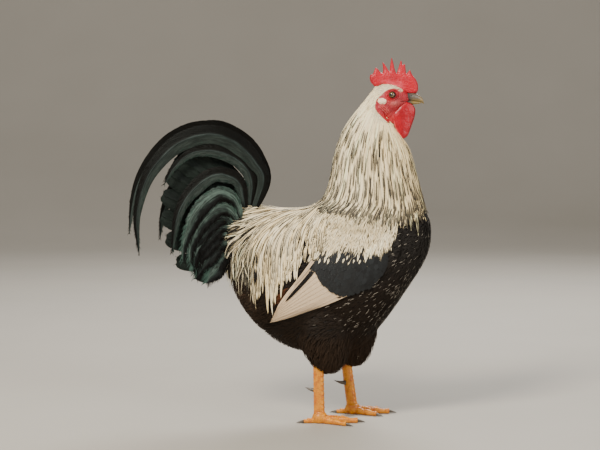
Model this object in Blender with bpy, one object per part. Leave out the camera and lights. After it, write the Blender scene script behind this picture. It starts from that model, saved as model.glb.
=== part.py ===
"""A life-size rooster standing on the floor, of a farmyard breed with a white cape, a black
breast and a green-black sickle tail. Metres, +Z up, +X towards the bill, -Y its right side,
the floor at z = 0. The origin is the middle of its box on the floor."""

import math

import bmesh
import bpy
import numpy as np
from mathutils import Matrix, Vector
from mathutils.bvhtree import BVHTree

GAP = 0.0003  # between pieces that touch
FEATHER_SOLVER = "MANIFOLD"  # for the forms with crossing thin vanes, where the exact one fails
RIGHT, LEFT = -1, 1  # sides of the bird, as signs of y
SIDES = ((RIGHT, "right"), (LEFT, "left"))

# Slices of each form: the ends (x, z) of the slice in the middle plane, and the half width
TORSO = [
    (-0.0800, 0.2640, -0.0800, 0.2640, 0.000),
    (-0.0750, 0.2280, -0.0750, 0.3020, 0.021),
    (-0.0580, 0.1920, -0.0580, 0.3320, 0.037),
    (-0.0300, 0.1570, -0.0280, 0.3500, 0.052),
    (0.0050, 0.1310, 0.0050, 0.3530, 0.063),
    (0.0500, 0.1160, 0.0500, 0.3540, 0.071),
    (0.0950, 0.1130, 0.0950, 0.3560, 0.075),
    (0.1400, 0.1270, 0.1400, 0.3600, 0.075),
    (0.1800, 0.1700, 0.1800, 0.3640, 0.070),
    (0.2150, 0.2170, 0.2150, 0.3640, 0.060),
    (0.2400, 0.2540, 0.2400, 0.3560, 0.045),
    (0.2540, 0.2860, 0.2540, 0.3400, 0.025),
    (0.2580, 0.3140, 0.2580, 0.3140, 0.000),
]
NECK = [
    (0.1640, 0.5610, 0.1735, 0.5020, 0.0145),
    (0.1580, 0.5520, 0.1830, 0.4965, 0.0175),
    (0.1470, 0.5380, 0.1920, 0.4900, 0.0210),
    (0.1270, 0.5130, 0.2035, 0.4760, 0.0255),
    (0.1095, 0.4845, 0.2145, 0.4580, 0.0315),
    (0.0970, 0.4525, 0.2235, 0.4360, 0.0385),
    (0.0900, 0.4190, 0.2305, 0.4090, 0.0465),
    (0.0850, 0.3922, 0.2350, 0.3805, 0.0540),
    (0.0740, 0.3690, 0.2390, 0.3560, 0.0610),
    (0.0560, 0.3570, 0.2440, 0.3400, 0.0660),
    (0.0420, 0.3480, 0.2500, 0.3080, 0.0700),
]
HEAD = [
    (0.1592, 0.5196, 0.1592, 0.5430, 0.0100),
    (0.1693, 0.5040, 0.1693, 0.5598, 0.0155),
    (0.1793, 0.5040, 0.1793, 0.5631, 0.0172),
    (0.1894, 0.5100, 0.1894, 0.5623, 0.0168),
    (0.1994, 0.5182, 0.1994, 0.5589, 0.0148),
    (0.2078, 0.5240, 0.2078, 0.5539, 0.0118),
    (0.2150, 0.5286, 0.2150, 0.5484, 0.0082),
    (0.2200, 0.5380, 0.2200, 0.5380, 0.0000),
]
COMB = [
    (0.1500, 0.5690, 0.1500, 0.5690, 0.0000),
    (0.1545, 0.5600, 0.1545, 0.5765, 0.0024),
    (0.1642, 0.5560, 0.1642, 0.5790, 0.0032),
    (0.1743, 0.5600, 0.1743, 0.5800, 0.0038),
    (0.1860, 0.5580, 0.1860, 0.5800, 0.0042),
    (0.1994, 0.5540, 0.1994, 0.5795, 0.0044),
    (0.2112, 0.5490, 0.2112, 0.5775, 0.0042),
    (0.2229, 0.5472, 0.2229, 0.5735, 0.0036),
    (0.2296, 0.5500, 0.2296, 0.5680, 0.0028),
    (0.2340, 0.5590, 0.2340, 0.5590, 0.0000),
]
COMB_ASIDE = 0.0004  # how far its blade leans aside
# Each comb point: its tip (x, z), the middle of its foot (x, z), its foot's half length
COMB_POINTS = [
    ((0.1527, 0.5785), (0.1630, 0.5690), 0.0060),
    ((0.1622, 0.5905), (0.1700, 0.5690), 0.0078),
    ((0.1732, 0.5990), (0.1790, 0.5690), 0.0086),
    ((0.1885, 0.6064), (0.1895, 0.5680), 0.0094),
    ((0.2045, 0.6008), (0.2010, 0.5680), 0.0090),
    ((0.2103, 0.5945), (0.2050, 0.5700), 0.0060),
    ((0.2190, 0.5862), (0.2150, 0.5660), 0.0086),
]
BILL_UPPER = [
    (0.2129, 0.5352, 0.2129, 0.5481, 0.0066),
    (0.2196, 0.5345, 0.2196, 0.5483, 0.0062),
    (0.2263, 0.5337, 0.2263, 0.5474, 0.0052),
    (0.2330, 0.5330, 0.2330, 0.5447, 0.0038),
    (0.2380, 0.5318, 0.2380, 0.5408, 0.0025),
    (0.2413, 0.5300, 0.2413, 0.5362, 0.0014),
    (0.2430, 0.5290, 0.2430, 0.5290, 0.0000),
]
BILL_LOWER = [
    (0.2129, 0.5285, 0.2129, 0.5345, 0.0058),
    (0.2196, 0.5282, 0.2196, 0.5339, 0.0053),
    (0.2263, 0.5284, 0.2263, 0.5331, 0.0043),
    (0.2330, 0.5292, 0.2330, 0.5324, 0.0029),
    (0.2370, 0.5303, 0.2370, 0.5315, 0.0014),
    (0.2390, 0.5309, 0.2390, 0.5309, 0.0000),
]
WATTLE = [
    (0.2040, 0.5330, 0.2120, 0.5330, 0.0018),
    (0.1975, 0.5240, 0.2180, 0.5240, 0.0024),
    (0.1930, 0.5110, 0.2215, 0.5110, 0.0028),
    (0.1930, 0.4970, 0.2205, 0.4970, 0.0028),
    (0.1975, 0.4840, 0.2175, 0.4840, 0.0024),
    (0.2030, 0.4755, 0.2125, 0.4755, 0.0016),
    (0.2082, 0.4712, 0.2082, 0.4712, 0.0000),
]
THIGH = [
    (0.0620, 0.2250, 0.1080, 0.2250, 0.0120),
    (0.0430, 0.1930, 0.1240, 0.1930, 0.0270),
    (0.0350, 0.1550, 0.1260, 0.1510, 0.0340),
    (0.0400, 0.1260, 0.1190, 0.1260, 0.0310),
    (0.0500, 0.1090, 0.1130, 0.1075, 0.0250),
    (0.0580, 0.0985, 0.1060, 0.0950, 0.0190),
    (0.0660, 0.0915, 0.0960, 0.0870, 0.0125),
    (0.0785, 0.0842, 0.0785, 0.0842, 0.0000),
]
TAIL_ROOT = [
    (-0.0420, 0.2200, 0.0080, 0.3500, 0.0360),
    (-0.0680, 0.2280, -0.0160, 0.3580, 0.0350),
    (-0.0860, 0.2480, -0.0420, 0.3640, 0.0320),
    (-0.0930, 0.2820, -0.0660, 0.3560, 0.0280),
    (-0.0920, 0.3200, -0.0920, 0.3200, 0.0180),
]

# The folded wing from its shoulder to its tip: lower and upper ends (x, z), and thickness
WING = [
    (0.2020, 0.2980, 0.2020, 0.3020, 0.0010),
    (0.1975, 0.2780, 0.1985, 0.3180, 0.0050),
    (0.1840, 0.2575, 0.1860, 0.3300, 0.0080),
    (0.1550, 0.2365, 0.1590, 0.3360, 0.0090),
    (0.1250, 0.2215, 0.1200, 0.3370, 0.0085),
    (0.0972, 0.2095, 0.0780, 0.3260, 0.0070),
    (0.0705, 0.2015, 0.0420, 0.2960, 0.0055),
    (0.0486, 0.1944, 0.0190, 0.2600, 0.0040),
    (0.0180, 0.1810, 0.0000, 0.2180, 0.0025),
    (-0.0140, 0.1680, -0.0150, 0.1700, 0.0010),
]
WING_EDGE = 0.0008
# Tiers of wing feathers, the hindmost first: where along the wing they root and end, how many,
# their half width, and the rise of their tips over the wing's own form
WING_TIERS = [
    (0.60, 0.93, 4, 0.0072, 0.0016),
    (0.42, 0.68, 4, 0.0098, 0.0026),
    (0.27, 0.52, 3, 0.0124, 0.0036),
    (0.13, 0.38, 3, 0.0125, 0.0046),
]
# Tiers of hackle locks from the head down: where along the neck they root and end, how many
# there are round it, and their half width
HACKLE = [
    (0.05, 0.28, 9, 0.0070),
    (0.17, 0.44, 10, 0.0092),
    (0.32, 0.61, 11, 0.0112),
    (0.48, 0.78, 11, 0.0132),
    (0.63, 0.92, 13, 0.0142),
]
STEPS = (0.0, 0.10, 0.40, 0.70, 1.0)  # where a lock's sections are along it
BEVEL = 0.72  # width of a vane's outer face, as a share of its inner one
LOCK_THICK, VANE_THICK = 0.0011, 0.0012
CLEAR = 0.0011  # height of a lock over its form where it leaves it
NECK_POWER = 2.15
THROAT = 0.50  # the angle each side of the throat that the upper locks leave to the wattles
NECK_BASE = ((0.0850, 0.3922), (0.2350, 0.3805))  # the line where the neck meets the shoulders
SADDLE_STEPS = (0.0, 0.10, 0.36, 0.68, 1.0)
SADDLE_CLEAR = 0.0022
# The cape of the rump, from its low edge up to the top of the back: degrees from straight up
# about the body's axis, rear x, front x, thickness
SADDLE = [
    (78.0, -0.0520, 0.0180, 0.0034),
    (52.0, -0.0480, 0.0300, 0.0032),
    (26.0, -0.0310, 0.0370, 0.0030),
    (0.0, -0.0050, 0.0400, 0.0030),
]
AXIS_Z, BACK_RADIUS = 0.2700, 0.065
# Tiers of saddle locks on each side, the lowest first: the line of their roots and the line
# of their tips, each as its rear and front ends (x, z), how many, half width, rise
SADDLE_TIERS = [
    (((-0.0400, 0.2950), (0.0240, 0.2950)), ((-0.0560, 0.2060), (0.0160, 0.1880)), 4, 0.0096, 0.0040),
    (((-0.0340, 0.3230), (0.0300, 0.3200)), ((-0.0600, 0.2380), (0.0240, 0.2150)), 4, 0.0100, 0.0058),
    (((-0.0120, 0.3440), (0.0340, 0.3440)), ((-0.0560, 0.2840), (0.0340, 0.2600)), 4, 0.0104, 0.0084),
]

# Eye and ear lobe
EYE_X, EYE_Z, EYE_RADIUS = 0.1892, 0.5445, 0.0058
EYE_OUT = 0.0030  # how far the ball stands out of the socket
LID_RADIUS, LID_THICK = 0.0062, 0.0012
LOBE_X, LOBE_Z, LOBE_LONG, LOBE_HIGH, LOBE_THICK = 0.1735, 0.5333, 0.0078, 0.0050, 0.0030
NOSTRIL_X, NOSTRIL_Y, NOSTRIL_Z = 0.2235, 0.0058, 0.5425
NOSTRIL_SIZE = (0.0019, 0.0014, 0.0009)  # half its length, depth and height
FACE_BACK = ((0.1640, 0.5610), (0.1735, 0.5020))  # the line that parts head from neck

# Legs
LEG_Y = 0.045
LEG_STEP = {RIGHT: 0.0, LEFT: 0.060}  # how far each foot is set forward
LEG_LEAN = {RIGHT: 0.002, LEFT: 0.016}  # how far each shank leans forward to its foot
THIGH_STEP = {RIGHT: 0.0, LEFT: 0.043}
HOCK_X, HOCK_Z, ANKLE_Z = 0.0660, 0.1120, 0.0200
SHANK_DEEP, SHANK_WIDE = 0.0088, 0.0068
SCUTES, SCUTE_HALF = 9, 0.0034
SCUTE_SLOPE = (0.92, 1.11)  # a scute's upper and lower edge, as shares of the shank's size
# Each toe: its name, direction in degrees from +X outwards, length, half width
TOES = [
    ("inner", -34.0, 0.050, 0.0058),
    ("middle", 0.0, 0.064, 0.0064),
    ("outer", 34.0, 0.054, 0.0058),
    ("hind", 172.0, 0.026, 0.0050),
]
CLAW_LONG, CLAW_RADIUS = 0.0150, 0.0030
SPUR_LONG, SPUR_RADIUS, SPUR_Z = 0.0200, 0.0042, 0.0560

# Tail: tips (x, z) of the main feathers from the top down, and the arcs of the others
MAIN_TIPS = [
    (-0.1400, 0.4600),
    (-0.1690, 0.4420),
    (-0.1850, 0.4130),
    (-0.1930, 0.3780),
    (-0.1950, 0.3420),
    (-0.1870, 0.3050),
    (-0.1700, 0.2660),
    (-0.1330, 0.2370),
]
MAIN_ROOT = ((-0.0420, 0.3590), (-0.0840, 0.2620))
MAIN_HALF = 0.0185
MAIN_STEPS = (0.0, 0.14, 0.55, 0.91, 1.0)
SICKLES = {
    RIGHT: [
        [(-0.0440, 0.3420), (-0.0250, 0.4004), (-0.0382, 0.4321), (-0.0618, 0.4577),
         (-0.0897, 0.4740), (-0.1173, 0.4785), (-0.1450, 0.4730), (-0.1726, 0.4590),
         (-0.1983, 0.4341), (-0.2180, 0.4044), (-0.2299, 0.3689), (-0.2350, 0.3332),
         (-0.2310, 0.2779)],
        [(-0.0540, 0.3420), (-0.0640, 0.3950), (-0.0900, 0.4110), (-0.1133, 0.4083),
         (-0.1371, 0.3905), (-0.1549, 0.3689), (-0.1668, 0.3431), (-0.1726, 0.3134),
         (-0.1766, 0.2817)],
        [(-0.0490, 0.3420), (-0.0450, 0.4000), (-0.0600, 0.4290), (-0.0870, 0.4460),
         (-0.1170, 0.4520), (-0.1470, 0.4460), (-0.1720, 0.4250), (-0.1900, 0.3950)],
    ],
    LEFT: [
        [(-0.0440, 0.3420), (-0.0235, 0.3980), (-0.0350, 0.4350), (-0.0600, 0.4640),
         (-0.0930, 0.4830), (-0.1240, 0.4855), (-0.1560, 0.4790), (-0.1850, 0.4640),
         (-0.2120, 0.4380), (-0.2330, 0.4050), (-0.2450, 0.3700), (-0.2500, 0.3400),
         (-0.2531, 0.3095)],
        [(-0.0540, 0.3420), (-0.0720, 0.3960), (-0.1040, 0.4160), (-0.1350, 0.4160),
         (-0.1620, 0.4020), (-0.1820, 0.3780), (-0.1960, 0.3400), (-0.2013, 0.3006)],
        [(-0.0490, 0.3420), (-0.0430, 0.4000), (-0.0570, 0.4320), (-0.0850, 0.4500),
         (-0.1160, 0.4560), (-0.1480, 0.4500), (-0.1740, 0.4290), (-0.1920, 0.3990)],
    ],
}
SICKLE_HALVES = (0.0160, 0.0130, 0.0120)
SICKLE_LAYERS = (0.0020, 0.0, -0.0020)  # their distance outwards from one another
COVERTS = [
    [(-0.0620, 0.3380), (-0.0700, 0.3640), (-0.0880, 0.3790), (-0.1120, 0.3700),
     (-0.1331, 0.3471), (-0.1450, 0.3213), (-0.1529, 0.2977), (-0.1549, 0.2700)],
    [(-0.0700, 0.3220), (-0.0810, 0.3420), (-0.1000, 0.3450), (-0.1212, 0.3312),
     (-0.1371, 0.3095), (-0.1450, 0.2878), (-0.1460, 0.2600)],
    [(-0.0760, 0.3060), (-0.0890, 0.3170), (-0.1050, 0.3100), (-0.1212, 0.2936),
     (-0.1351, 0.2739), (-0.1430, 0.2482)],
    [(-0.0800, 0.2900), (-0.0940, 0.2880), (-0.1080, 0.2760), (-0.1220, 0.2590),
     (-0.1331, 0.2403)],
    [(-0.0800, 0.2720), (-0.0920, 0.2640), (-0.1020, 0.2520), (-0.1150, 0.2350)],
]
COVERT_HALF = 0.0120
TIER_Y = (0.0120, 0.0200)  # where the tail root is parted: main feathers, sickles, coverts

# Colours: red, green, blue, roughness
COLOURS = {
    "white": (0.80, 0.76, 0.66, 0.6),
    "black": (0.030, 0.028, 0.026, 0.5),
    "green": (0.030, 0.060, 0.050, 0.35),
    "comb": (0.62, 0.02, 0.03, 0.45),
    "face": (0.50, 0.06, 0.06, 0.5),
    "lobe": (0.80, 0.72, 0.62, 0.5),
    "horn": (0.25, 0.20, 0.12, 0.35),
    "leg": (0.75, 0.38, 0.08, 0.5),
    "eye": (0.45, 0.22, 0.05, 0.1),
}


def clear_scene():
    for thing in list(bpy.data.objects):
        bpy.data.objects.remove(thing)


def paint(thing, colour):
    """One material of the named colour on the object."""
    material = bpy.data.materials.get(colour)
    if material is None:
        material = bpy.data.materials.new(colour)
        material.use_nodes = True
        shader = material.node_tree.nodes["Principled BSDF"]
        *rgb, rough = COLOURS[colour]
        shader.inputs["Base Color"].default_value = (*rgb, 1.0)
        shader.inputs["Roughness"].default_value = rough
    thing.data.materials.clear()
    thing.data.materials.append(material)
    return thing


def solid(name, vertices, faces):
    """A mesh object whose faces all point out."""
    mesh = bpy.data.meshes.new(name)
    mesh.from_pydata([tuple(v) for v in vertices], [], faces)
    work = bmesh.new()
    work.from_mesh(mesh)
    bmesh.ops.recalc_face_normals(work, faces=work.faces)
    work.to_mesh(mesh)
    work.free()
    thing = bpy.data.objects.new(name, mesh)
    bpy.context.scene.collection.objects.link(thing)
    return thing


def read(table, t):
    """The row of a table at t from 0 to 1, on a smooth curve through its rows."""
    rows = np.asarray(table, float)
    place = min(max(t, 0.0), 1.0) * (len(rows) - 1)
    i = min(int(place), len(rows) - 2)
    f = place - i
    p1, p2 = rows[i], rows[i + 1]
    p0 = rows[i - 1] if i > 0 else 2 * p1 - p2
    p3 = rows[i + 2] if i + 2 < len(rows) else 2 * p2 - p1
    smooth = (2 * p1 + (p2 - p0) * f + (2 * p0 - 5 * p1 + 4 * p2 - p3) * f * f
              + (3 * p1 - p0 - 3 * p2 + p3) * f ** 3)
    return 0.5 * smooth


def slice_ring(row, sides, power, y=0.0):
    """The closed ring of one slice: round its two ends and its half width."""
    x0, z0, x1, z1, half = row
    middle = Vector(((x0 + x1) / 2, y, (z0 + z1) / 2))
    reach = Vector(((x1 - x0) / 2, 0.0, (z1 - z0) / 2))
    points = []
    for k in range(sides):
        angle = 2 * math.pi * k / sides
        c, s = math.cos(angle), math.sin(angle)
        across = math.copysign(abs(s) ** (2 / power), s)
        along = math.copysign(abs(c) ** (2 / power), c)
        points.append(middle + reach * along + Vector((0.0, max(half, 0.0) * across, 0.0)))
    return points


def skin(rings):
    """Vertices and faces over closed rings. A ring of no size becomes a point."""
    vertices, faces, rows = [], [], []
    for ring in rings:
        spread = max((p - ring[0]).length for p in ring)
        points = [sum(ring, Vector()) / len(ring)] if spread < 1e-4 else ring
        rows.append(range(len(vertices), len(vertices) + len(points)))
        vertices.extend(points)
    for a, b in zip(rows, rows[1:]):
        n = max(len(a), len(b))
        for k in range(n):
            nxt = (k + 1) % n
            if len(a) == 1:
                faces.append((a[0], b[nxt], b[k]))
            elif len(b) == 1:
                faces.append((a[k], a[nxt], b[0]))
            else:
                faces.append((a[k], a[nxt], b[nxt], b[k]))
    for row in (rows[0], rows[-1]):
        if len(row) > 1:
            faces.append(tuple(row))
    return vertices, faces


def loft(name, table, steps, sides, power=2.2, y=0.0, shift=0.0):
    """A form through the slices of a table, set at y and shifted along x."""
    rows = [read(table, k / steps) + np.array([shift, 0, shift, 0, 0]) for k in range(steps + 1)]
    for row, end in ((rows[0], table[0]), (rows[-1], table[-1])):
        row[4] = end[4]
    return solid(name, *skin([slice_ring(r, sides, power, y) for r in rows]))


def tube(name, path, radii, sides=8, up=Vector((0, 0, 1)), floor=None):
    """A round piece along a path, its radii (across, up) at each point. It ends in a point
    where a radius is nought, and is flat underneath at floor."""
    rings = []
    for k, point in enumerate(path):
        ahead = (path[min(k + 1, len(path) - 1)] - path[max(k - 1, 0)]).normalized()
        side = ahead.cross(up).normalized()
        top = side.cross(ahead).normalized()
        wide, high = radii[k]
        ring = []
        for n in range(sides):
            angle = 2 * math.pi * n / sides
            p = point + side * wide * math.cos(angle) + top * high * math.sin(angle)
            if floor is not None and max(wide, high) > 0:
                p.z = max(p.z, floor)
            ring.append(p)
        rings.append(ring)
    return solid(name, *skin(rings))


def ball(name, centre, radii, segments=12, rings=8):
    """An ellipsoid of the given radii."""
    mesh = bpy.data.meshes.new(name)
    work = bmesh.new()
    bmesh.ops.create_uvsphere(work, u_segments=segments, v_segments=rings, radius=1.0)
    bmesh.ops.scale(work, vec=radii, verts=work.verts)
    bmesh.ops.translate(work, vec=centre, verts=work.verts)
    work.to_mesh(mesh)
    work.free()
    thing = bpy.data.objects.new(name, mesh)
    bpy.context.scene.collection.objects.link(thing)
    return thing


def applied(thing):
    """Makes the object's modifiers part of its mesh."""
    bpy.context.view_layer.update()
    graph = bpy.context.evaluated_depsgraph_get()
    mesh = bpy.data.meshes.new_from_object(thing.evaluated_get(graph))
    thing.modifiers.clear()
    thing.data = mesh
    return thing


def keep_largest(thing):
    """Drops all but the largest closed surface of the object."""
    work = bmesh.new()
    work.from_mesh(thing.data)
    left, shells = set(work.verts), []
    while left:
        stack = [left.pop()]
        shell = set(stack)
        while stack:
            for edge in stack.pop().link_edges:
                for other in edge.verts:
                    if other in left:
                        left.discard(other)
                        shell.add(other)
                        stack.append(other)
        shells.append(shell)
    if len(shells) > 1:
        def size(shell):
            low = [min(v.co[k] for v in shell) for k in range(3)]
            high = [max(v.co[k] for v in shell) for k in range(3)]
            return math.dist(low, high)
        biggest = max(shells, key=size)
        bmesh.ops.delete(work, geom=[v for v in work.verts if v not in biggest], context="VERTS")
    work.to_mesh(thing.data)
    work.free()
    return thing


def fuse(thing, pieces, solver="EXACT"):
    """Joins the closed pieces to the object as one surface."""
    group = bpy.data.collections.new("pieces")
    bpy.context.scene.collection.children.link(group)
    for piece in pieces:
        bpy.context.scene.collection.objects.unlink(piece)
        group.objects.link(piece)
    join = thing.modifiers.new("join", "BOOLEAN")
    join.operation = "UNION"
    join.operand_type = "COLLECTION"
    join.collection = group
    join.solver = solver
    applied(thing)
    for piece in pieces:
        bpy.data.objects.remove(piece)
    bpy.data.collections.remove(group)
    return keep_largest(thing)


def cut(thing, cutter, solver="EXACT", operation="DIFFERENCE"):
    """Cuts the object by a closed mesh, which is then removed."""
    knife = thing.modifiers.new("cut", "BOOLEAN")
    knife.operation = operation
    knife.object = cutter
    knife.solver = solver
    applied(thing)
    bpy.data.objects.remove(cutter)
    return keep_largest(thing)


def swollen(thing, by=GAP):
    """A copy of the object grown by that much all over, to cut its neighbour clear of it."""
    copy = bpy.data.objects.new("swollen", thing.data.copy())
    bpy.context.scene.collection.objects.link(copy)
    work = bmesh.new()
    work.from_mesh(copy.data)
    work.normal_update()
    moves = [v.normal.copy() for v in work.verts]
    for vertex, move in zip(work.verts, moves):
        vertex.co += move * by
    work.to_mesh(copy.data)
    work.free()
    return copy


def block(low, high):
    """A box between two corners."""
    xs, ys, zs = zip(low, high)
    corners = [(x, y, z) for x in xs for y in ys for z in zs]
    faces = [(0, 1, 3, 2), (4, 6, 7, 5), (0, 4, 5, 1), (2, 3, 7, 6), (0, 2, 6, 4), (1, 5, 7, 3)]
    return solid("block", corners, faces)


def beyond(line, side, reach=0.4):
    """A slab on one side of a line (x, z) of the middle plane: its left as it runs, or with
    -1 its right."""
    (x0, z0), (x1, z1) = line
    ahead = Vector((x1 - x0, 0, z1 - z0)).normalized()
    a = Vector((x0, 0, z0)) - ahead * reach
    b = Vector((x1, 0, z1)) + ahead * reach
    away = Vector((-ahead.z, 0, ahead.x)) * reach * side
    rings = [[p + Vector((0, y, 0)) for p in (a, b, b + away, a + away)] for y in (-reach, reach)]
    return solid("slab", *skin(rings))


def moved_line(line, x, z):
    """The line (x, z) moved by that much."""
    return tuple((px + x, pz + z) for px, pz in line)


def copy_of(thing, name):
    twin = bpy.data.objects.new(name, thing.data.copy())
    bpy.context.scene.collection.objects.link(twin)
    return twin


def vane(name, path, normals, halves, thick):
    """A closed blade along a path with the half widths at each point, tapering to a point at
    the end, its outer face a little narrower than its inner one."""
    vertices, faces = [], []
    last = len(path) - 1
    for k, point in enumerate(path[:-1]):
        ahead = (path[k + 1] - path[max(k - 1, 0)]).normalized()
        normal = (normals[k] - ahead * normals[k].dot(ahead)).normalized()
        side = ahead.cross(normal) * halves[k]
        top = normal * (thick / 2)
        outline = (-side - top, side - top, side * BEVEL + top, top - side * BEVEL)
        vertices += [point + corner for corner in outline]
    vertices.append(path[-1])
    for k in range(last - 1):
        a, b = k * 4, (k + 1) * 4
        faces += [(a, a + 1, b + 1), (a, b + 1, b)]
        faces += [(a + 1, a + 2, b + 2), (a + 1, b + 2, b + 1)]
        faces += [(a + 2, a + 3, b + 2), (a + 3, b + 3, b + 2)]
        faces += [(a + 3, a, b), (a + 3, b, b + 3)]
    a, tip = (last - 1) * 4, last * 4
    faces += [(a + k, a + (k + 1) % 4, tip) for k in range(4)]
    faces.append((3, 2, 1, 0))
    return solid(name, vertices, faces)


def feather_halves(half, places, blunt):
    """Half widths at places from root to tip: a narrow quill, a full middle, a round or sharp
    end."""
    halves = []
    for t in places:
        opened = min(1.0, 0.30 + 2.6 * t)
        closing = max(0.0, 1.0 - max(0.0, t - blunt) / (1.0 - blunt)) ** (0.5 if blunt > 0.7 else 0.8)
        halves.append(half * opened * closing)
    return halves


def even(steps):
    return [k / steps for k in range(steps + 1)]


def arc(points, places):
    """Points (x, z) at places from 0 to 1 along a smooth curve through the given ones."""
    fine = [read(points, k / 60) for k in range(61)]
    run = [0.0]
    for a, b in zip(fine, fine[1:]):
        run.append(run[-1] + math.hypot(*(b - a)))
    wanted = [run[-1] * t for t in places]
    xs = np.interp(wanted, run, [p[0] for p in fine])
    zs = np.interp(wanted, run, [p[1] for p in fine])
    return list(zip(xs, zs))


def side_vane(name, points, ys, half, places, blunt, lean):
    """A tail feather whose flat faces look sideways: its line (x, z), its y at root, middle
    and tip, and how far its face leans over its neighbour below."""
    side = RIGHT if ys[-1] < 0 else LEFT
    path, normals = [], []
    for t, (x, z) in zip(places, arc(points, places)):
        y = float(read([(v,) for v in ys], t)[0])
        path.append(Vector((x, y, z)))
        normals.append(Vector((0.0, side, lean)).normalized())
    return vane(name, path, normals, feather_halves(half, places, blunt), VANE_THICK)


def flank(tree, x, z, side):
    """The point and normal of a form's side surface at x and z."""
    start = Vector((x, side * 0.5, z))
    spot, normal, _, _ = tree.ray_cast(start, Vector((0, -side, 0)))
    if spot is None:
        spot, normal, _, _ = tree.find_nearest(Vector((x, side * 0.02, z)))
    return spot, normal


def over_flank(tree, points, side, root, tip, places, clear=CLEAR):
    """A path (x, z) laid over a form's side, sunk at its root and out at its tip, and clear of
    the form between its points, with the normals under it."""
    spots, normals = [], []
    for x, z in arc(points, places):
        spot, normal = flank(tree, x, z, side)
        spots.append(spot)
        normals.append(normal)
    calm = [sum(normals[max(k - 1, 0):k + 2], Vector()).normalized() for k in range(len(spots))]
    heights = [rise(root, tip, t, clear) for t in places]
    path = [spot + normal * high for spot, normal, high in zip(spots, calm, heights)]
    for k in range(1, len(path) - 1):
        middle = (path[k] + path[k + 1]) / 2
        spot, _ = flank(tree, middle.x, middle.z, side)
        short = clear - (middle.y - spot.y) * side
        if short > 0:
            path[k].y += short * side
            path[k + 1].y += short * side
    return path, calm


def weld(thing, near):
    """Merges the object's points that lie closer than near."""
    work = bmesh.new()
    work.from_mesh(thing.data)
    bmesh.ops.triangulate(work, faces=work.faces)
    bmesh.ops.remove_doubles(work, verts=work.verts, dist=near)
    work.to_mesh(thing.data)
    work.free()


def tree_of(*things):
    """A search tree over the faces of the objects."""
    vertices, faces = [], []
    for thing in things:
        start = len(vertices)
        vertices += [v.co.copy() for v in thing.data.vertices]
        faces += [tuple(start + i for i in p.vertices) for p in thing.data.polygons]
    return BVHTree.FromPolygons(vertices, faces)


def make_body():
    """The torso with the flesh of the shoulders, and the neck's core on it."""
    torso = loft("torso", TORSO, 17, 18, power=2.25)
    neck = loft("neck", NECK, 10, 14, power=NECK_POWER)
    shoulders = copy_of(neck, "shoulders")
    cut(shoulders, beyond(moved_line(NECK_BASE, 0.0, -GAP), 1))
    cut(neck, beyond(NECK_BASE, -1), FEATHER_SOLVER)
    fuse(torso, [shoulders])
    weld(torso, 0.0012)
    return paint(torso, "black"), paint(neck, "white")


def on_neck(t, angle):
    """The point and outward normal of the neck's form, t along it and an angle round it from
    the throat."""
    def point(t, angle):
        x0, z0, x1, z1, half = read(NECK, t)
        c, s = math.cos(angle), math.sin(angle)
        across = math.copysign(abs(s) ** (2 / NECK_POWER), s) * half
        along = math.copysign(abs(c) ** (2 / NECK_POWER), c) / 2
        return Vector(((x0 + x1) / 2 + (x1 - x0) * along, across, (z0 + z1) / 2 + (z1 - z0) * along))
    here = point(t, angle)
    round_it = point(t, angle + 0.03) - point(t, angle - 0.03)
    down_it = point(min(t + 0.02, 1), angle) - point(max(t - 0.02, 0), angle)
    normal = round_it.cross(down_it).normalized()
    centre = point(t, angle + math.pi)
    return here, normal if normal.dot(here - centre) > 0 else -normal


def rise(root, tip, t, clear=CLEAR):
    """Height of a lock over its form: sunk at its root, then clear of it and rising to its tip."""
    return root if t == 0 else clear + (tip - clear) * t


def face_room():
    """The room ahead of the line between head and neck, kept free of the hackle."""
    (top_x, top_z), (low_x, low_z) = moved_line(FACE_BACK, GAP / 3, 0.0)
    lean = (top_x - low_x) / (top_z - low_z)
    corners = [(low_x, low_z), (low_x + 0.1, low_z), (low_x + 0.1, low_z + 0.1),
               (low_x + lean * 0.1, low_z + 0.1)]
    rings = [[Vector((x, y, z)) for x, z in corners] for y in (-0.1, 0.1)]
    return solid("room", *skin(rings))


def dress_neck(neck, torso, wings):
    """The hackle: tiers of pointed locks that fan down from the head over the shoulders."""
    under = tree_of(*wings)
    locks = []
    for tier, (start, end, count, half) in enumerate(HACKLE):
        for k in range(count):
            angle = 2 * math.pi * (k + 0.5 * (tier % 2)) / count
            turned = min(angle, 2 * math.pi - angle)
            if tier < 2 and turned < THROAT:
                continue
            stretch = 1 + 0.05 * math.sin(2.3 * k + 1.7 * tier) + 0.10 * math.sin(angle) ** 2
            tip = 0.0036 + 0.0009 * (k % 2)
            path, normals = [], []
            for t in STEPS:
                spot, normal = on_neck(start + (end - start) * stretch * t, angle)
                path.append(spot + normal * rise(-0.0032, tip, t))
                normals.append(normal)
            path = clear_of(under, path, 0.0016)
            locks.append(vane("lock", path, normals, feather_halves(half, STEPS, 0.30), LOCK_THICK))
    fuse(neck, locks, FEATHER_SOLVER)
    cut(neck, face_room(), FEATHER_SOLVER)
    cut(neck, swollen(torso), FEATHER_SOLVER)


def clear_of(tree, path, room):
    """The path with each point that lies too near a form's side, or in it, moved out."""
    freed = []
    for point in path:
        side = RIGHT if point.y < 0 else LEFT
        spot, _, _, _ = tree.ray_cast(Vector((point.x, side * 0.5, point.z)), Vector((0, -side, 0)))
        if spot is not None and abs(spot.y) + room > abs(point.y) > 0.03:
            point = Vector((point.x, spot.y + side * room, point.z))
        freed.append(point)
    return freed


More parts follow.
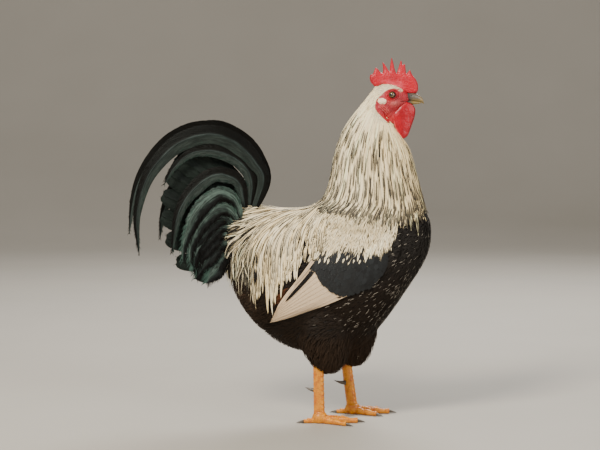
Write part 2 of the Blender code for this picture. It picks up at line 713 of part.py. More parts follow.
def make_head(neck):
    head = loft("head", HEAD, 9, 14, power=2.2)
    lids = []
    for side in (RIGHT, LEFT):
        rim = [
            Vector((EYE_X + LID_RADIUS * math.cos(a), side * 0.0150, EYE_Z + LID_RADIUS * math.sin(a)))
            for a in np.linspace(0, 2 * math.pi, 10, endpoint=False)
        ]
        lids.append(ring_of(rim, LID_THICK))
    fuse(head, lids)
    cut(head, beyond(moved_line(FACE_BACK, GAP, 0.0), -1))
    cut(head, swollen(neck))
    return paint(head, "face")


def ring_of(points, radius, sides=4):
    """A closed ring of tube through points that lie in a plane across y."""
    centre = sum(points, Vector()) / len(points)
    rows = []
    for p in points:
        out = (p - centre).normalized()
        rows.append([
            p + out * radius * math.cos(a) + Vector((0, 1, 0)) * radius * 1.6 * math.sin(a)
            for a in np.linspace(0, 2 * math.pi, sides, endpoint=False)
        ])
    vertices = [p for row in rows for p in row]
    n = len(rows)
    faces = [
        (r * sides + k, r * sides + (k + 1) % sides,
         (r + 1) % n * sides + (k + 1) % sides, (r + 1) % n * sides + k)
        for r in range(n) for k in range(sides)
    ]
    return solid("ring", vertices, faces)


def make_eyes(head):
    tree = tree_of(head)
    eyes = []
    for side, name in ((RIGHT, "eye_right"), (LEFT, "eye_left")):
        spot, _ = flank(tree, EYE_X, EYE_Z, side)
        centre = Vector((EYE_X, spot.y - side * (EYE_RADIUS - EYE_OUT), EYE_Z))
        eye = ball(name, centre, (EYE_RADIUS,) * 3, 12, 6)
        cut(head, swollen(eye))
        eyes.append(paint(eye, "eye"))
    return eyes


def make_lobes(head):
    """The ear lobes on the head's sides, up to the line between head and neck."""
    tree = tree_of(head)
    for side, name in ((RIGHT, "ear_lobe_right"), (LEFT, "ear_lobe_left")):
        spot, _ = flank(tree, LOBE_X, LOBE_Z, side)
        lobe = ball(name, (LOBE_X, spot.y, LOBE_Z), (LOBE_LONG, LOBE_THICK, LOBE_HIGH), 10, 6)
        cut(lobe, swollen(head))
        cut(lobe, beyond(moved_line(FACE_BACK, 4 * GAP / 3, 0.0), -1))
        paint(lobe, "lobe")


def make_comb(head, neck):
    comb = loft("comb", COMB, 11, 8, power=2.4, y=COMB_ASIDE)
    points = []
    for (tip_x, tip_z), (foot_x, foot_z), half in COMB_POINTS:
        foot, tip = Vector((foot_x, 0, foot_z)), Vector((tip_x, 0, tip_z))
        steps = 3
        path = [foot.lerp(tip, k / steps) for k in range(steps + 1)]
        radii = [(0.0030 * (1 - 0.6 * k / steps), half * (1 - (k / steps) ** 1.2)) for k in range(steps)]
        points.append(tube("point", path, radii + [(0, 0)], 6, up=Vector((1, 0, 0.01))))
    fuse(comb, points)
    cut(comb, swollen(head))
    cut(comb, swollen(neck), FEATHER_SOLVER)
    return paint(comb, "comb")


def make_bill(head, comb):
    for name, table in (("bill_upper", BILL_UPPER), ("bill_lower", BILL_LOWER)):
        bill = loft(name, table, 8, 10, power=2.1)
        cut(bill, swollen(head))
        cut(bill, swollen(comb))
        if name == "bill_upper":
            for side in (RIGHT, LEFT):
                cut(bill, ball("pit", (NOSTRIL_X, side * NOSTRIL_Y, NOSTRIL_Z), NOSTRIL_SIZE, 6, 4))
        else:
            upper = bpy.data.objects["bill_upper"]
            cut(bill, swollen(upper, 0.0004))
        paint(bill, "horn")


def make_wattles(head, neck):
    for side, name in ((RIGHT, "wattle_right"), (LEFT, "wattle_left")):
        wattle = loft(name, WATTLE, 9, 8, power=2.2, y=side * 0.0072,
                      shift=0.004 if side == LEFT else 0.0)
        cut(wattle, swollen(head))
        cut(wattle, swollen(bpy.data.objects["bill_lower"]))
        cut(wattle, swollen(neck), FEATHER_SOLVER)
        paint(wattle, "comb")


def make_wing(torso, name, side):
    """The folded wing: a shell on the torso's side, from its shoulder to its tip."""
    tree = tree_of(torso)
    long_steps, wide_steps = 10, 4
    inner, outer = [], []
    for i in range(long_steps + 1):
        x0, z0, x1, z1, thick = read(WING, i / long_steps)
        for j in range(wide_steps + 1):
            v = j / wide_steps
            crown = WING_EDGE + max(thick - WING_EDGE, 0.0) * math.sin(math.pi * v) ** 0.6
            spot, normal = flank(tree, x0 + (x1 - x0) * v, z0 + (z1 - z0) * v, side)
            inner.append(spot - normal * 6 * GAP)
            outer.append(spot + normal * (3 * GAP + crown))
    wing = solid(name, *sheet_faces(inner, outer, wide_steps + 1))
    fuse(wing, wing_feathers(wing, side), FEATHER_SOLVER)
    cut(wing, swollen(torso, 4 * GAP / 3), FEATHER_SOLVER)
    return paint(wing, "white")


def wing_feathers(wing, side):
    """Coverts and flight feathers in tiers from the shoulder to the tip, each tier's tips over
    the roots of the next."""
    tree = tree_of(wing)
    feathers = []
    for start, end, count, half, top in WING_TIERS:
        x0, z0, x1, z1, _ = read(WING, start)
        x2, z2, x3, z3, _ = read(WING, end)
        for k in range(count):
            v = 0.12 + 0.76 * k / (count - 1)
            root = (x0 + (x1 - x0) * v, z0 + (z1 - z0) * v)
            tip = (x2 + (x3 - x2) * v, z2 + (z3 - z2) * v)
            path, normals = over_flank(tree, [root, tip], side, -0.0016, top + 0.0008 * (k % 2), STEPS)
            halves = feather_halves(half, STEPS, 0.72)
            feathers.append(vane("feather", path, normals, halves, LOCK_THICK))
    return feathers


def saddle_shell(name, tree, grow=0.0):
    """The cape of the rump, a shell over the back that hangs down both sides. Grown, it is
    the room kept free for it."""
    inner, outer, across, along = [], [], 6, 6
    for k in range(-across, across + 1):
        degrees, rear, front, thick = read(SADDLE, 1 - abs(k) / across)
        angle = math.copysign(math.radians(degrees), k) * (1 + grow / BACK_RADIUS)
        away = Vector((0, math.sin(angle), math.cos(angle)))
        for j in range(along + 1):
            x = rear - grow + (front - rear + 2 * grow) * j / along
            spot, normal, _, _ = tree.ray_cast(Vector((x, 0, AXIS_Z)) + away * 0.5, -away)
            fade = grow + WING_EDGE + (thick - WING_EDGE) * math.sin(math.pi * j / along) ** 0.5
            inner.append(spot - normal * (6 * GAP + 3 * grow))
            outer.append(spot + normal * (2 * GAP + fade))
    return solid(name, *sheet_faces(inner, outer, along + 1))


def sheet_faces(inner, outer, row):
    """Vertices and faces of a closed sheet between two grids of points with rows of that
    many points, split into triangles alike on both faces."""
    count, last, along = len(inner), len(inner) // row - 1, row - 1
    faces = []
    for i in range(last):
        for j in range(along):
            a, b, c, d = i * row + j, i * row + j + 1, (i + 1) * row + j + 1, (i + 1) * row + j
            faces += [(a, b, c), (a, c, d)]
            faces += [(count + a, count + c, count + b), (count + a, count + d, count + c)]
    rim = [j for j in range(row)]
    rim += [i * row + along for i in range(1, last + 1)]
    rim += [last * row + j for j in range(along - 1, -1, -1)]
    rim += [i * row for i in range(last - 1, 0, -1)]
    faces += [(a, b, count + b, count + a) for a, b in zip(rim, rim[1:] + rim[:1])]
    return inner + outer, faces


def make_saddle(torso, wings):
    saddle = saddle_shell("saddle", tree_of(torso))
    locks = []
    for side, wing in zip((RIGHT, LEFT), wings):
        locks += saddle_locks(tree_of(torso, wing), side)
    fuse(saddle, locks, FEATHER_SOLVER)
    for wing in wings:
        cut(saddle, swollen(wing), FEATHER_SOLVER)
    cut(saddle, swollen(torso), FEATHER_SOLVER)
    return paint(saddle, "white")


def saddle_locks(tree, side):
    """Long pointed locks that leave the back rearwards and bend down over the flank."""
    locks = []
    for (root_a, root_b), (tip_a, tip_b), count, half, top in SADDLE_TIERS:
        for k in range(count):
            t = k / (count - 1)
            root = [a + (b - a) * t for a, b in zip(root_a, root_b)]
            tip = [a + (b - a) * t for a, b in zip(tip_a, tip_b)]
            bend = (tip[0] + 0.42 * (root[0] - tip[0]), root[1] - 0.38 * (root[1] - tip[1]))
            high = top + 0.0009 * (k % 2)
            path, normals = over_flank(tree, [root, bend, tip], side, 0.0010, high, SADDLE_STEPS,
                                       SADDLE_CLEAR)
            halves = feather_halves(half, SADDLE_STEPS, 0.35)
            locks.append(vane("lock", path, normals, halves, LOCK_THICK))
    return locks


def make_tail(torso):
    """The tail's root, parted into upright slices from its middle plane outwards, each with
    its own feathers."""
    whole = loft("root", TAIL_ROOT, 12, 20, power=2.3)
    slices = [("tail", -TIER_Y[0], TIER_Y[0])]
    slices += [(f"sickles_{word}", side * (TIER_Y[0] + GAP), side * (TIER_Y[1] - GAP))
               for side, word in SIDES]
    slices += [(f"tail_coverts_{word}", side * TIER_Y[1], side * 0.2) for side, word in SIDES]
    for name, near, far in slices:
        low, high = sorted((near, far))
        part = copy_of(whole, name)
        cut(part, block((-0.3, low, 0), (0.3, high, 0.6)), FEATHER_SOLVER, "INTERSECT")
        side = RIGHT if name.endswith("right") else LEFT
        if name == "tail":
            feathers = main_feathers(RIGHT) + main_feathers(LEFT)
        elif "sickles" in name:
            feathers = sickle_feathers(side)
        else:
            feathers = covert_feathers(side)
        fuse(part, feathers, FEATHER_SOLVER)
        cut(part, swollen(torso), FEATHER_SOLVER)
        cut(part, saddle_shell("room", tree_of(torso), 0.0015), FEATHER_SOLVER)
        paint(part, "green")
    bpy.data.objects.remove(whole)


def main_feathers(side):
    (root_x, root_z), (low_x, low_z) = MAIN_ROOT
    pieces = []
    for k, (x, z) in enumerate(MAIN_TIPS):
        t = k / (len(MAIN_TIPS) - 1)
        root = (root_x + (low_x - root_x) * t, root_z + (low_z - root_z) * t)
        middle = ((root[0] + x) / 2 - 0.004, (root[1] + z) / 2 + 0.010 * (1 - 2 * t))
        near, far = side * (0.0032 + 0.0017 * (k % 2)), side * (0.0045 + 0.0115 * t)
        ys = [near, near + (far - near) * 0.35, far]
        pieces.append(side_vane("main", [root, middle, (x, z)], ys, MAIN_HALF, MAIN_STEPS,
                                blunt=0.72, lean=0.14))
    return pieces


def sickle_feathers(side):
    pieces = []
    for k, (points, half) in enumerate(zip(SICKLES[side], SICKLE_HALVES)):
        ys = [side * (y + SICKLE_LAYERS[k]) for y in (0.0160, 0.0200, 0.0250, 0.0290)]
        pieces.append(side_vane("sickle", points, ys, half, even(10), blunt=0.50, lean=0.0))
    return pieces


def covert_feathers(side):
    pieces = []
    for k, points in enumerate(COVERTS):
        root = 0.0226 + 0.0022 * (k % 2)
        ys = [side * root, side * (0.0340 + 0.002 * k), side * (0.0430 + 0.002 * k)]
        pieces.append(side_vane("covert", points, ys, COVERT_HALF, even(5), blunt=0.55, lean=0.12))
    return pieces


def make_thigh(torso, name, side):
    thigh = loft(name, THIGH, 9, 12, power=2.1, y=side * (LEG_Y - 0.003), shift=THIGH_STEP[side])
    cut(thigh, swollen(torso))
    return paint(thigh, "black")


def make_shank(thigh, name, side):
    """The scaly leg, its scutes in one row down the front."""
    top = Vector((HOCK_X + THIGH_STEP[side], side * LEG_Y, HOCK_Z + 0.012))
    foot = Vector((HOCK_X + THIGH_STEP[side] + LEG_LEAN[side], side * LEG_Y, ANKLE_Z + GAP))
    steps = 5
    path = [top.lerp(foot, k / steps) for k in range(steps + 1)]
    radii = []
    for k in range(steps + 1):
        t = k / steps
        waist = 1.0 - 0.16 * math.sin(math.pi * t)
        radii.append((SHANK_WIDE * waist, SHANK_DEEP * waist))
    shank = tube(name, path, radii, 10, up=Vector((1, 0, 0)))
    plates = []
    for k in range(SCUTES):
        t = 0.14 + 0.80 * k / (SCUTES - 1)
        waist = 1.0 - 0.16 * math.sin(math.pi * t)
        centre = top.lerp(foot, t)
        ring_path = [centre + Vector((0, 0, SCUTE_HALF)), centre - Vector((0, 0, SCUTE_HALF))]
        rings = []
        for p, grow in zip(ring_path, SCUTE_SLOPE):
            wide, deep = SHANK_WIDE * grow, SHANK_DEEP * grow
            rings.append([
                p + Vector((deep * waist * math.cos(a), wide * waist * math.sin(a), 0))
                for a in np.linspace(-1.35, 1.35, 5)
            ] + [p])
        plates.append(solid("scute", *skin(rings)))
    fuse(shank, plates)
    cut(shank, block((-0.5, -0.5, 0.0), (0.5, 0.5, ANKLE_Z + GAP)))
    cut(shank, swollen(thigh))
    return paint(shank, "leg")


def make_foot(name, side):
    """A foot with four toes, flat underneath, and its claws."""
    ankle = Vector((HOCK_X + THIGH_STEP[side] + LEG_LEAN[side], side * LEG_Y, 0))
    pad = ball(name, ankle + Vector((0.001, 0, 0.010)), (0.0125, 0.0115, 0.0125), 12, 8)
    cut(pad, block((-0.5, -0.5, ANKLE_Z), (0.5, 0.5, 0.1)))
    cut(pad, block((-0.5, -0.5, -0.1), (0.5, 0.5, 0.0)))
    toes, claws = [], []
    word = name.split("_")[1]
    for toe, degrees, length, half in TOES:
        angle = math.radians(degrees) * -side * -1
        ahead = Vector((math.cos(angle), math.sin(angle), 0))
        steps = 5
        path, radii = [], []
        for k in range(steps + 1):
            t = k / steps
            knuckle = 1 + 0.08 * math.cos(2 * math.pi * 3 * t)
            wide = half * (1.05 - 0.32 * t) * knuckle
            high = half * (1.15 - 0.50 * t) * knuckle
            path.append(ankle + ahead * length * t + Vector((0, 0, high * 0.86)))
            radii.append((wide, high))
        toes.append(tube("toe", path, radii, 7, floor=0.0))
        end = path[-1]
        claw_path, claw_radii = [], []
        for k in range(5):
            t = k / 4
            drop = (end.z - 0.0012) * t ** 1.6
            claw_path.append(end + ahead * (GAP + CLAW_LONG * t) - Vector((0, 0, drop)))
            claw_radii.append((CLAW_RADIUS * (1 - t) ** 0.8 * 0.8, CLAW_RADIUS * (1 - t) ** 0.8))
        claw = tube(f"claw_{word}_{toe}", claw_path, claw_radii, 6, floor=0.0)
        claws.append(paint(claw, "horn"))
    fuse(pad, toes)
    for claw in claws:
        cut(claw, swollen(pad))
    return paint(pad, "leg")


def make_spur(shank, name, side):
    x = HOCK_X + THIGH_STEP[side] + LEG_LEAN[side] * (HOCK_Z - SPUR_Z) / HOCK_Z
    path, radii = [], []
    for k in range(5):
        t = k / 4
        path.append(Vector((x - 0.003 - SPUR_LONG * t, side * (LEG_Y - 0.004 - 0.004 * t),
                            SPUR_Z - 0.002 + 0.005 * t * t)))
        radii.append((SPUR_RADIUS * (1 - t) ** 0.8,) * 2)
    spur = tube(name, path, radii, 6)
    cut(spur, swollen(shank))
    return paint(spur, "horn")


def centre_on_floor():
    """Moves the whole bird so that the middle of its box is over the origin."""
    points = [v.co for o in bpy.context.scene.objects for v in o.data.vertices]
    low = [min(p[k] for p in points) for k in range(3)]
    high = [max(p[k] for p in points) for k in range(3)]
    move = Matrix.Translation((-(low[0] + high[0]) / 2, -(low[1] + high[1]) / 2, -low[2]))
    for thing in bpy.context.scene.objects:
        thing.data.transform(move)
        thing.data.shade_smooth()
        thing.data.set_sharp_from_angle(angle=math.radians(40))


def main():
    clear_scene()
    torso, neck = make_body()
    head = make_head(neck)
    wings = [make_wing(torso, f"wing_{word}", side) for side, word in SIDES]
    dress_neck(neck, torso, wings)
    make_eyes(head)
    make_lobes(head)
    comb = make_comb(head, neck)
    make_bill(head, comb)
    make_wattles(head, neck)
    make_saddle(torso, wings)
    make_tail(torso)
    for side, word in SIDES:
        thigh = make_thigh(torso, f"thigh_{word}", side)
        shank = make_shank(thigh, f"shank_{word}", side)
        make_foot(f"foot_{word}", side)
        make_spur(shank, f"spur_{word}", side)
    centre_on_floor()


main()
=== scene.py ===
"""Looks of a life-size rooster: white cape and saddle over black, a green-black sickle tail."""

import math

import bmesh
import bpy
import numpy as np
from bpy.props import FloatProperty, FloatVectorProperty, IntProperty, PointerProperty
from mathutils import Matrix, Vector, noise
from mathutils.bvhtree import BVHTree
from mathutils.geometry import delaunay_2d_cdt


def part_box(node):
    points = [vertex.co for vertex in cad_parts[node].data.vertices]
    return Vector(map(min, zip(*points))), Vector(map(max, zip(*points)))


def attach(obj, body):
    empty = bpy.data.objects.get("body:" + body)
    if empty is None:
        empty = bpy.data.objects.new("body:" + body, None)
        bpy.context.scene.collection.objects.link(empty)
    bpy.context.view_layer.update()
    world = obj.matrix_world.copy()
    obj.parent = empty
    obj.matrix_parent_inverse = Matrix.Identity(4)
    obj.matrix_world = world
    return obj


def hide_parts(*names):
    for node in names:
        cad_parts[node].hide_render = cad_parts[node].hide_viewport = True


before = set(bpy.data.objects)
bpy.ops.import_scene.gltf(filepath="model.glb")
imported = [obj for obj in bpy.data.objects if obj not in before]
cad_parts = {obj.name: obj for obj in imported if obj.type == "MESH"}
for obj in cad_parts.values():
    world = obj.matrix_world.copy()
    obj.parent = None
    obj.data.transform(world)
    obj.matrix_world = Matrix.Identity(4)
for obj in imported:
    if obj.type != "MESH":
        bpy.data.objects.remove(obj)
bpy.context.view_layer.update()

bl_info = {
    "name": "Farmyard rooster",
    "version": (1, 0, 0),
    "blender": (4, 5, 0),
    "location": "View3D > Sidebar > Rooster",
    "description": "Builds the skin, feathers and stage of a life-size rooster",
    "category": "Object",
}

RIGHT, LEFT = -1, 1  # sides of the bird, as signs of y
SIDES = ((RIGHT, "right"), (LEFT, "left"))

# Slices of each form: the ends (x, z) of the slice in the middle plane, and the half width
TORSO = [
    (-0.08, 0.264, -0.08, 0.264, 0.0),
    (-0.075, 0.228, -0.075, 0.302, 0.021),
    (-0.058, 0.192, -0.058, 0.332, 0.037),
    (-0.03, 0.157, -0.028, 0.35, 0.052),
    (0.005, 0.131, 0.005, 0.353, 0.063),
    (0.05, 0.116, 0.05, 0.354, 0.071),
    (0.095, 0.113, 0.095, 0.356, 0.075),
    (0.14, 0.127, 0.14, 0.36, 0.075),
    (0.18, 0.17, 0.18, 0.364, 0.07),
    (0.214, 0.219, 0.214, 0.364, 0.06),
    (0.238, 0.256, 0.238, 0.356, 0.045),
    (0.2515, 0.286, 0.2515, 0.342, 0.025),
    (0.2555, 0.314, 0.2555, 0.314, 0.0),
]
NECK = [
    (0.164, 0.561, 0.1735, 0.502, 0.0145),
    (0.158, 0.552, 0.183, 0.4965, 0.0175),
    (0.147, 0.538, 0.192, 0.49, 0.021),
    (0.127, 0.513, 0.2035, 0.476, 0.0255),
    (0.1095, 0.4845, 0.2145, 0.458, 0.0315),
    (0.097, 0.4525, 0.2235, 0.436, 0.0385),
    (0.09, 0.419, 0.2305, 0.409, 0.0465),
    (0.085, 0.3922, 0.2375, 0.3805, 0.054),
    (0.074, 0.369, 0.245, 0.356, 0.061),
    (0.056, 0.357, 0.2495, 0.338, 0.066),
    (0.042, 0.348, 0.2525, 0.308, 0.07),
]
HEAD = [
    (0.1592, 0.5196, 0.1592, 0.543, 0.01),
    (0.1693, 0.504, 0.1693, 0.5598, 0.0155),
    (0.1793, 0.504, 0.1793, 0.5631, 0.0172),
    (0.1894, 0.51, 0.1894, 0.5623, 0.0168),
    (0.1994, 0.5182, 0.1994, 0.5589, 0.0148),
    (0.2078, 0.524, 0.2078, 0.5539, 0.0118),
    (0.215, 0.5286, 0.215, 0.5484, 0.0082),
    (0.22, 0.538, 0.22, 0.538, 0.0),
]
THIGH = [
    (0.062, 0.225, 0.108, 0.225, 0.012),
    (0.043, 0.193, 0.124, 0.193, 0.027),
    (0.035, 0.155, 0.126, 0.151, 0.034),
    (0.04, 0.126, 0.119, 0.126, 0.031),
    (0.05, 0.109, 0.113, 0.1075, 0.025),
    (0.058, 0.0985, 0.106, 0.095, 0.019),
    (0.066, 0.0915, 0.096, 0.087, 0.0125),
    (0.0785, 0.0842, 0.0785, 0.0842, 0.0),
]
TAIL_ROOT = [
    (-0.042, 0.22, 0.008, 0.35, 0.036),
    (-0.068, 0.228, -0.016, 0.358, 0.035),
    (-0.086, 0.248, -0.042, 0.364, 0.032),
    (-0.093, 0.282, -0.066, 0.356, 0.028),
    (-0.092, 0.32, -0.092, 0.32, 0.018),
]
# The folded wing from its shoulder to its tip: lower and upper ends (x, z), and thickness
WING = [
    (0.202, 0.298, 0.202, 0.302, 0.001),
    (0.1975, 0.278, 0.1985, 0.318, 0.005),
    (0.184, 0.2575, 0.186, 0.33, 0.008),
    (0.155, 0.2365, 0.159, 0.336, 0.009),
    (0.125, 0.2215, 0.12, 0.337, 0.0085),
    (0.0972, 0.2095, 0.078, 0.326, 0.007),
    (0.0705, 0.2015, 0.042, 0.296, 0.0055),
    (0.0486, 0.1944, 0.019, 0.26, 0.004),
    (0.018, 0.181, 0.0, 0.218, 0.0025),
    (-0.014, 0.168, -0.015, 0.17, 0.001),
]
NECK_TUCK = [  # below the neck's form, sunk in the shoulders
    (0.044, 0.33, 0.248, 0.286, 0.064),
    (0.06, 0.31, 0.235, 0.27, 0.05),
]
THROAT = [
    (0.177, 0.515, 0.177, 0.516, 0.002),
    (0.18, 0.5, 0.182, 0.53, 0.011),
    (0.188, 0.492, 0.19, 0.528, 0.011),
    (0.196, 0.494, 0.198, 0.526, 0.009),
    (0.202, 0.512, 0.202, 0.513, 0.001),
]
NECK_POWER = 2.15
THIGH_STEP = {RIGHT: 0.0, LEFT: 0.043}
LEG_Y = 0.045
FINE_GUIDE = (0.0023, 7)  # voxel size and rounds of smoothing of the body's form
CALM_GUIDE = (0.004, 60)  # and of the form that long feathers are laid on
BAKE_PATCH = 0.003  # how much of the bake map a feather takes up
STRAND_GAP_SHADE = (0.05, 0.038, 0.028)  # painted shade between the pale strands of hackle, saddle and wing bow
RIDGE = 50.0  # degrees of a fold from which a feather shows an edge
FINE, CALM = 0, 1  # places of the two forms in GUIDES
GUIDES = []
BLACK = (0.0, 0.0, 0.0, 1.0)
FLOAT, COLOUR = "NodeSocketFloat", "NodeSocketColor"

# Outlines (x, z) of markings on the bird's side
BARE_FACE = [
    (0.1605, 0.531), (0.1625, 0.537), (0.168, 0.541), (0.173, 0.545), (0.1777, 0.55),
    (0.1836, 0.5535), (0.1942, 0.5558), (0.2012, 0.553), (0.2071, 0.5492), (0.211, 0.556),
    (0.23, 0.556), (0.23, 0.52), (0.215, 0.51), (0.203, 0.501), (0.1905, 0.4965),
    (0.1824, 0.4994), (0.1742, 0.5064), (0.166, 0.5147), (0.1613, 0.5217),
]
BOW = [
    (0.074, 0.36), (0.064, 0.325), (0.058, 0.3), (0.0545, 0.282), (0.056, 0.279),
    (0.08, 0.279), (0.105, 0.278), (0.13, 0.278), (0.15, 0.281), (0.165, 0.288),
    (0.178, 0.297), (0.187, 0.307), (0.1935, 0.317), (0.1965, 0.327), (0.193, 0.345),
    (0.175, 0.36),
]
BOW_EDGE = BOW[4:14] + BOW[12:4:-1]
BAR = [
    (0.0545, 0.275), (0.053, 0.256), (0.0594, 0.244), (0.069, 0.233), (0.0834, 0.222),
    (0.0978, 0.216), (0.1091, 0.214), (0.13, 0.219), (0.1508, 0.228), (0.165, 0.244),
    (0.175, 0.262), (0.176, 0.285), (0.15, 0.282), (0.1, 0.284),
]
BAR_ROOTS = [
    (0.064, 0.285), (0.064, 0.27), (0.07, 0.26), (0.08, 0.248), (0.093, 0.238),
    (0.108, 0.233), (0.13, 0.238), (0.156, 0.248), (0.172, 0.264), (0.18, 0.29),
    (0.15, 0.295), (0.1, 0.295),
]
BAY = [
    (-0.0115, 0.169), (0.0072, 0.202), (0.0375, 0.2337), (0.0534, 0.2525), (0.0548, 0.274),
    (0.08, 0.27), (0.12, 0.235), (0.112, 0.214), (0.095, 0.2115), (0.069, 0.2035),
    (0.04, 0.1945), (0.02, 0.186), (0.006, 0.1785),
]
RUST = [(-0.005, 0.195), (0.006, 0.206), (0.02, 0.22), (0.018, 0.23), (0.002, 0.216)]
BAY_FEATHERS, BAY_HALF, BAY_TIP = 9, 0.0064, (-0.013, 0.1695)
TERTIALS = [  # the two feathers over the bay: line, height, half width and colour
    ([(0.07, 0.274), (0.048, 0.245), (0.013, 0.206)], 0.0034, 0.0042, "charcoal"),
    ([(0.066, 0.286), (0.049, 0.261), (0.027, 0.233)], 0.0044, 0.0032, "bay"),
]
WING_Y = 0.04  # the wings' markings lie further out than this
CAPE_EDGE = [(0.03, 0.345), (0.07, 0.35), (0.1, 0.34), (0.2, 0.345), (0.235, 0.374), (0.26, 0.394)]
SADDLE_EDGE = [
    (-0.08, 0.26), (-0.0722, 0.2246), (-0.061, 0.2162), (-0.0474, 0.1894), (-0.041, 0.1793),
    (-0.013, 0.181), (0.0055, 0.2), (0.0231, 0.232), (0.036, 0.259), (0.045, 0.28),
]
SADDLE_LONG, SADDLE_STEPS = 0.105, 24  # the reach of a search for the saddle's edge

# The head's outlines (x, z), its eye, ear lobe, flap and nostril
COMB_OUTLINE = [
    (0.1601, 0.5582), (0.1542, 0.5652), (0.1524, 0.5711), (0.1534, 0.5775), (0.1575, 0.5795),
    (0.16, 0.585), (0.1624, 0.5896), (0.166, 0.587), (0.1705, 0.5815), (0.1742, 0.5817),
    (0.1745, 0.59), (0.1735, 0.5985), (0.1775, 0.5945), (0.1815, 0.588), (0.1853, 0.584),
    (0.1864, 0.593), (0.1883, 0.6058), (0.1915, 0.597), (0.194, 0.586), (0.1971, 0.5805),
    (0.1998, 0.588), (0.2042, 0.6012), (0.207, 0.5945), (0.2108, 0.5952), (0.2118, 0.5885),
    (0.213, 0.58), (0.216, 0.582), (0.219, 0.5862), (0.2212, 0.5812), (0.224, 0.5765),
    (0.2282, 0.5711), (0.2318, 0.564), (0.2329, 0.557), (0.2324, 0.5511), (0.2295, 0.547),
    (0.223, 0.5465), (0.216, 0.547), (0.207, 0.55), (0.197, 0.5545), (0.187, 0.558),
    (0.179, 0.56), (0.174, 0.562), (0.169, 0.5605), (0.165, 0.5575),
]
WATTLE_OUTLINE = [
    (0.213, 0.5325), (0.2205, 0.53), (0.2255, 0.5245), (0.2274, 0.5175), (0.2259, 0.5068),
    (0.2216, 0.4939), (0.2162, 0.479), (0.212, 0.4733), (0.2056, 0.4722), (0.1991, 0.4812),
    (0.1937, 0.4917), (0.1906, 0.5046), (0.1915, 0.514), (0.1965, 0.519), (0.205, 0.527),
]
WATTLE_STEP = 0.0015  # how much further forward the left one hangs
WATTLE_REAR = WATTLE_OUTLINE[8:13] + WATTLE_OUTLINE[11:8:-1]
BILL_UPPER = [
    (0.2129, 0.5352, 0.2129, 0.5481, 0.0066),
    (0.2196, 0.5345, 0.2196, 0.5483, 0.0062),
    (0.2263, 0.5337, 0.2263, 0.5474, 0.0052),
    (0.233, 0.533, 0.233, 0.5447, 0.0038),
    (0.238, 0.5318, 0.238, 0.5408, 0.0025),
    (0.2413, 0.53, 0.2413, 0.5362, 0.0014),
    (0.243, 0.529, 0.243, 0.529, 0.0),
]
BILL_LOWER = [
    (0.2129, 0.5285, 0.2129, 0.5362, 0.0058),
    (0.2196, 0.5282, 0.2196, 0.5356, 0.0053),
    (0.2263, 0.5284, 0.2263, 0.5347, 0.0043),
    (0.233, 0.5291, 0.233, 0.5338, 0.0029),
    (0.237, 0.5302, 0.237, 0.5328, 0.0014),
    (0.239, 0.5314, 0.239, 0.5314, 0.0),
]
EYE_X, EYE_Z, EYE_RADIUS = 0.1892, 0.5445, 0.0058
LOBE_X, LOBE_Z, LOBE_SIZE = 0.1722, 0.5336, (0.0076, 0.0032, 0.0052)
FLAP_TOP, FOLD_WIDE = (0.169, 0.5285), 0.003
NOSTRIL_X, NOSTRIL_Z = 0.2225, 0.543
FACE_X, FACE_Z, EYE_AREA = 0.16, 0.5, 0.0125  # the skin is finer past these and round the eyes

# Neck and legs
NECK_LONG = 0.215  # down the middle of its side
# Where the cape's tips end along the neck, by the cosine of the angle from its front
HACKLE_ENDS = [(-1.0, 0.9), (-0.6, 0.94), (-0.2, 0.97), (0.3, 0.965), (0.67, 0.925), (0.91, 0.86),
               (1.0, 0.77)]
LEG_LEAN = {RIGHT: 0.002, LEFT: 0.016}
HOCK_X, HOCK_Z, ANKLE_Z = 0.066, 0.112, 0.02
SHANK_DEEP, SHANK_WIDE = 0.0088, 0.0068
SCUTES, TOE_SCUTE = 15, 0.004
TOES = [
    ("inner", -34.0, 0.05, 0.0058),
    ("middle", 0.0, 0.064, 0.0064),
    ("outer", 34.0, 0.054, 0.0058),
    ("hind", 172.0, 0.026, 0.005),
]
CLAW_LONG, CLAW_RADIUS = 0.015, 0.003
SPUR_LONG, SPUR_RADIUS, SPUR_Z = 0.02, 0.0042, 0.056
SOLE = 0.0004  # height of the foot's lowest points before they are smoothed

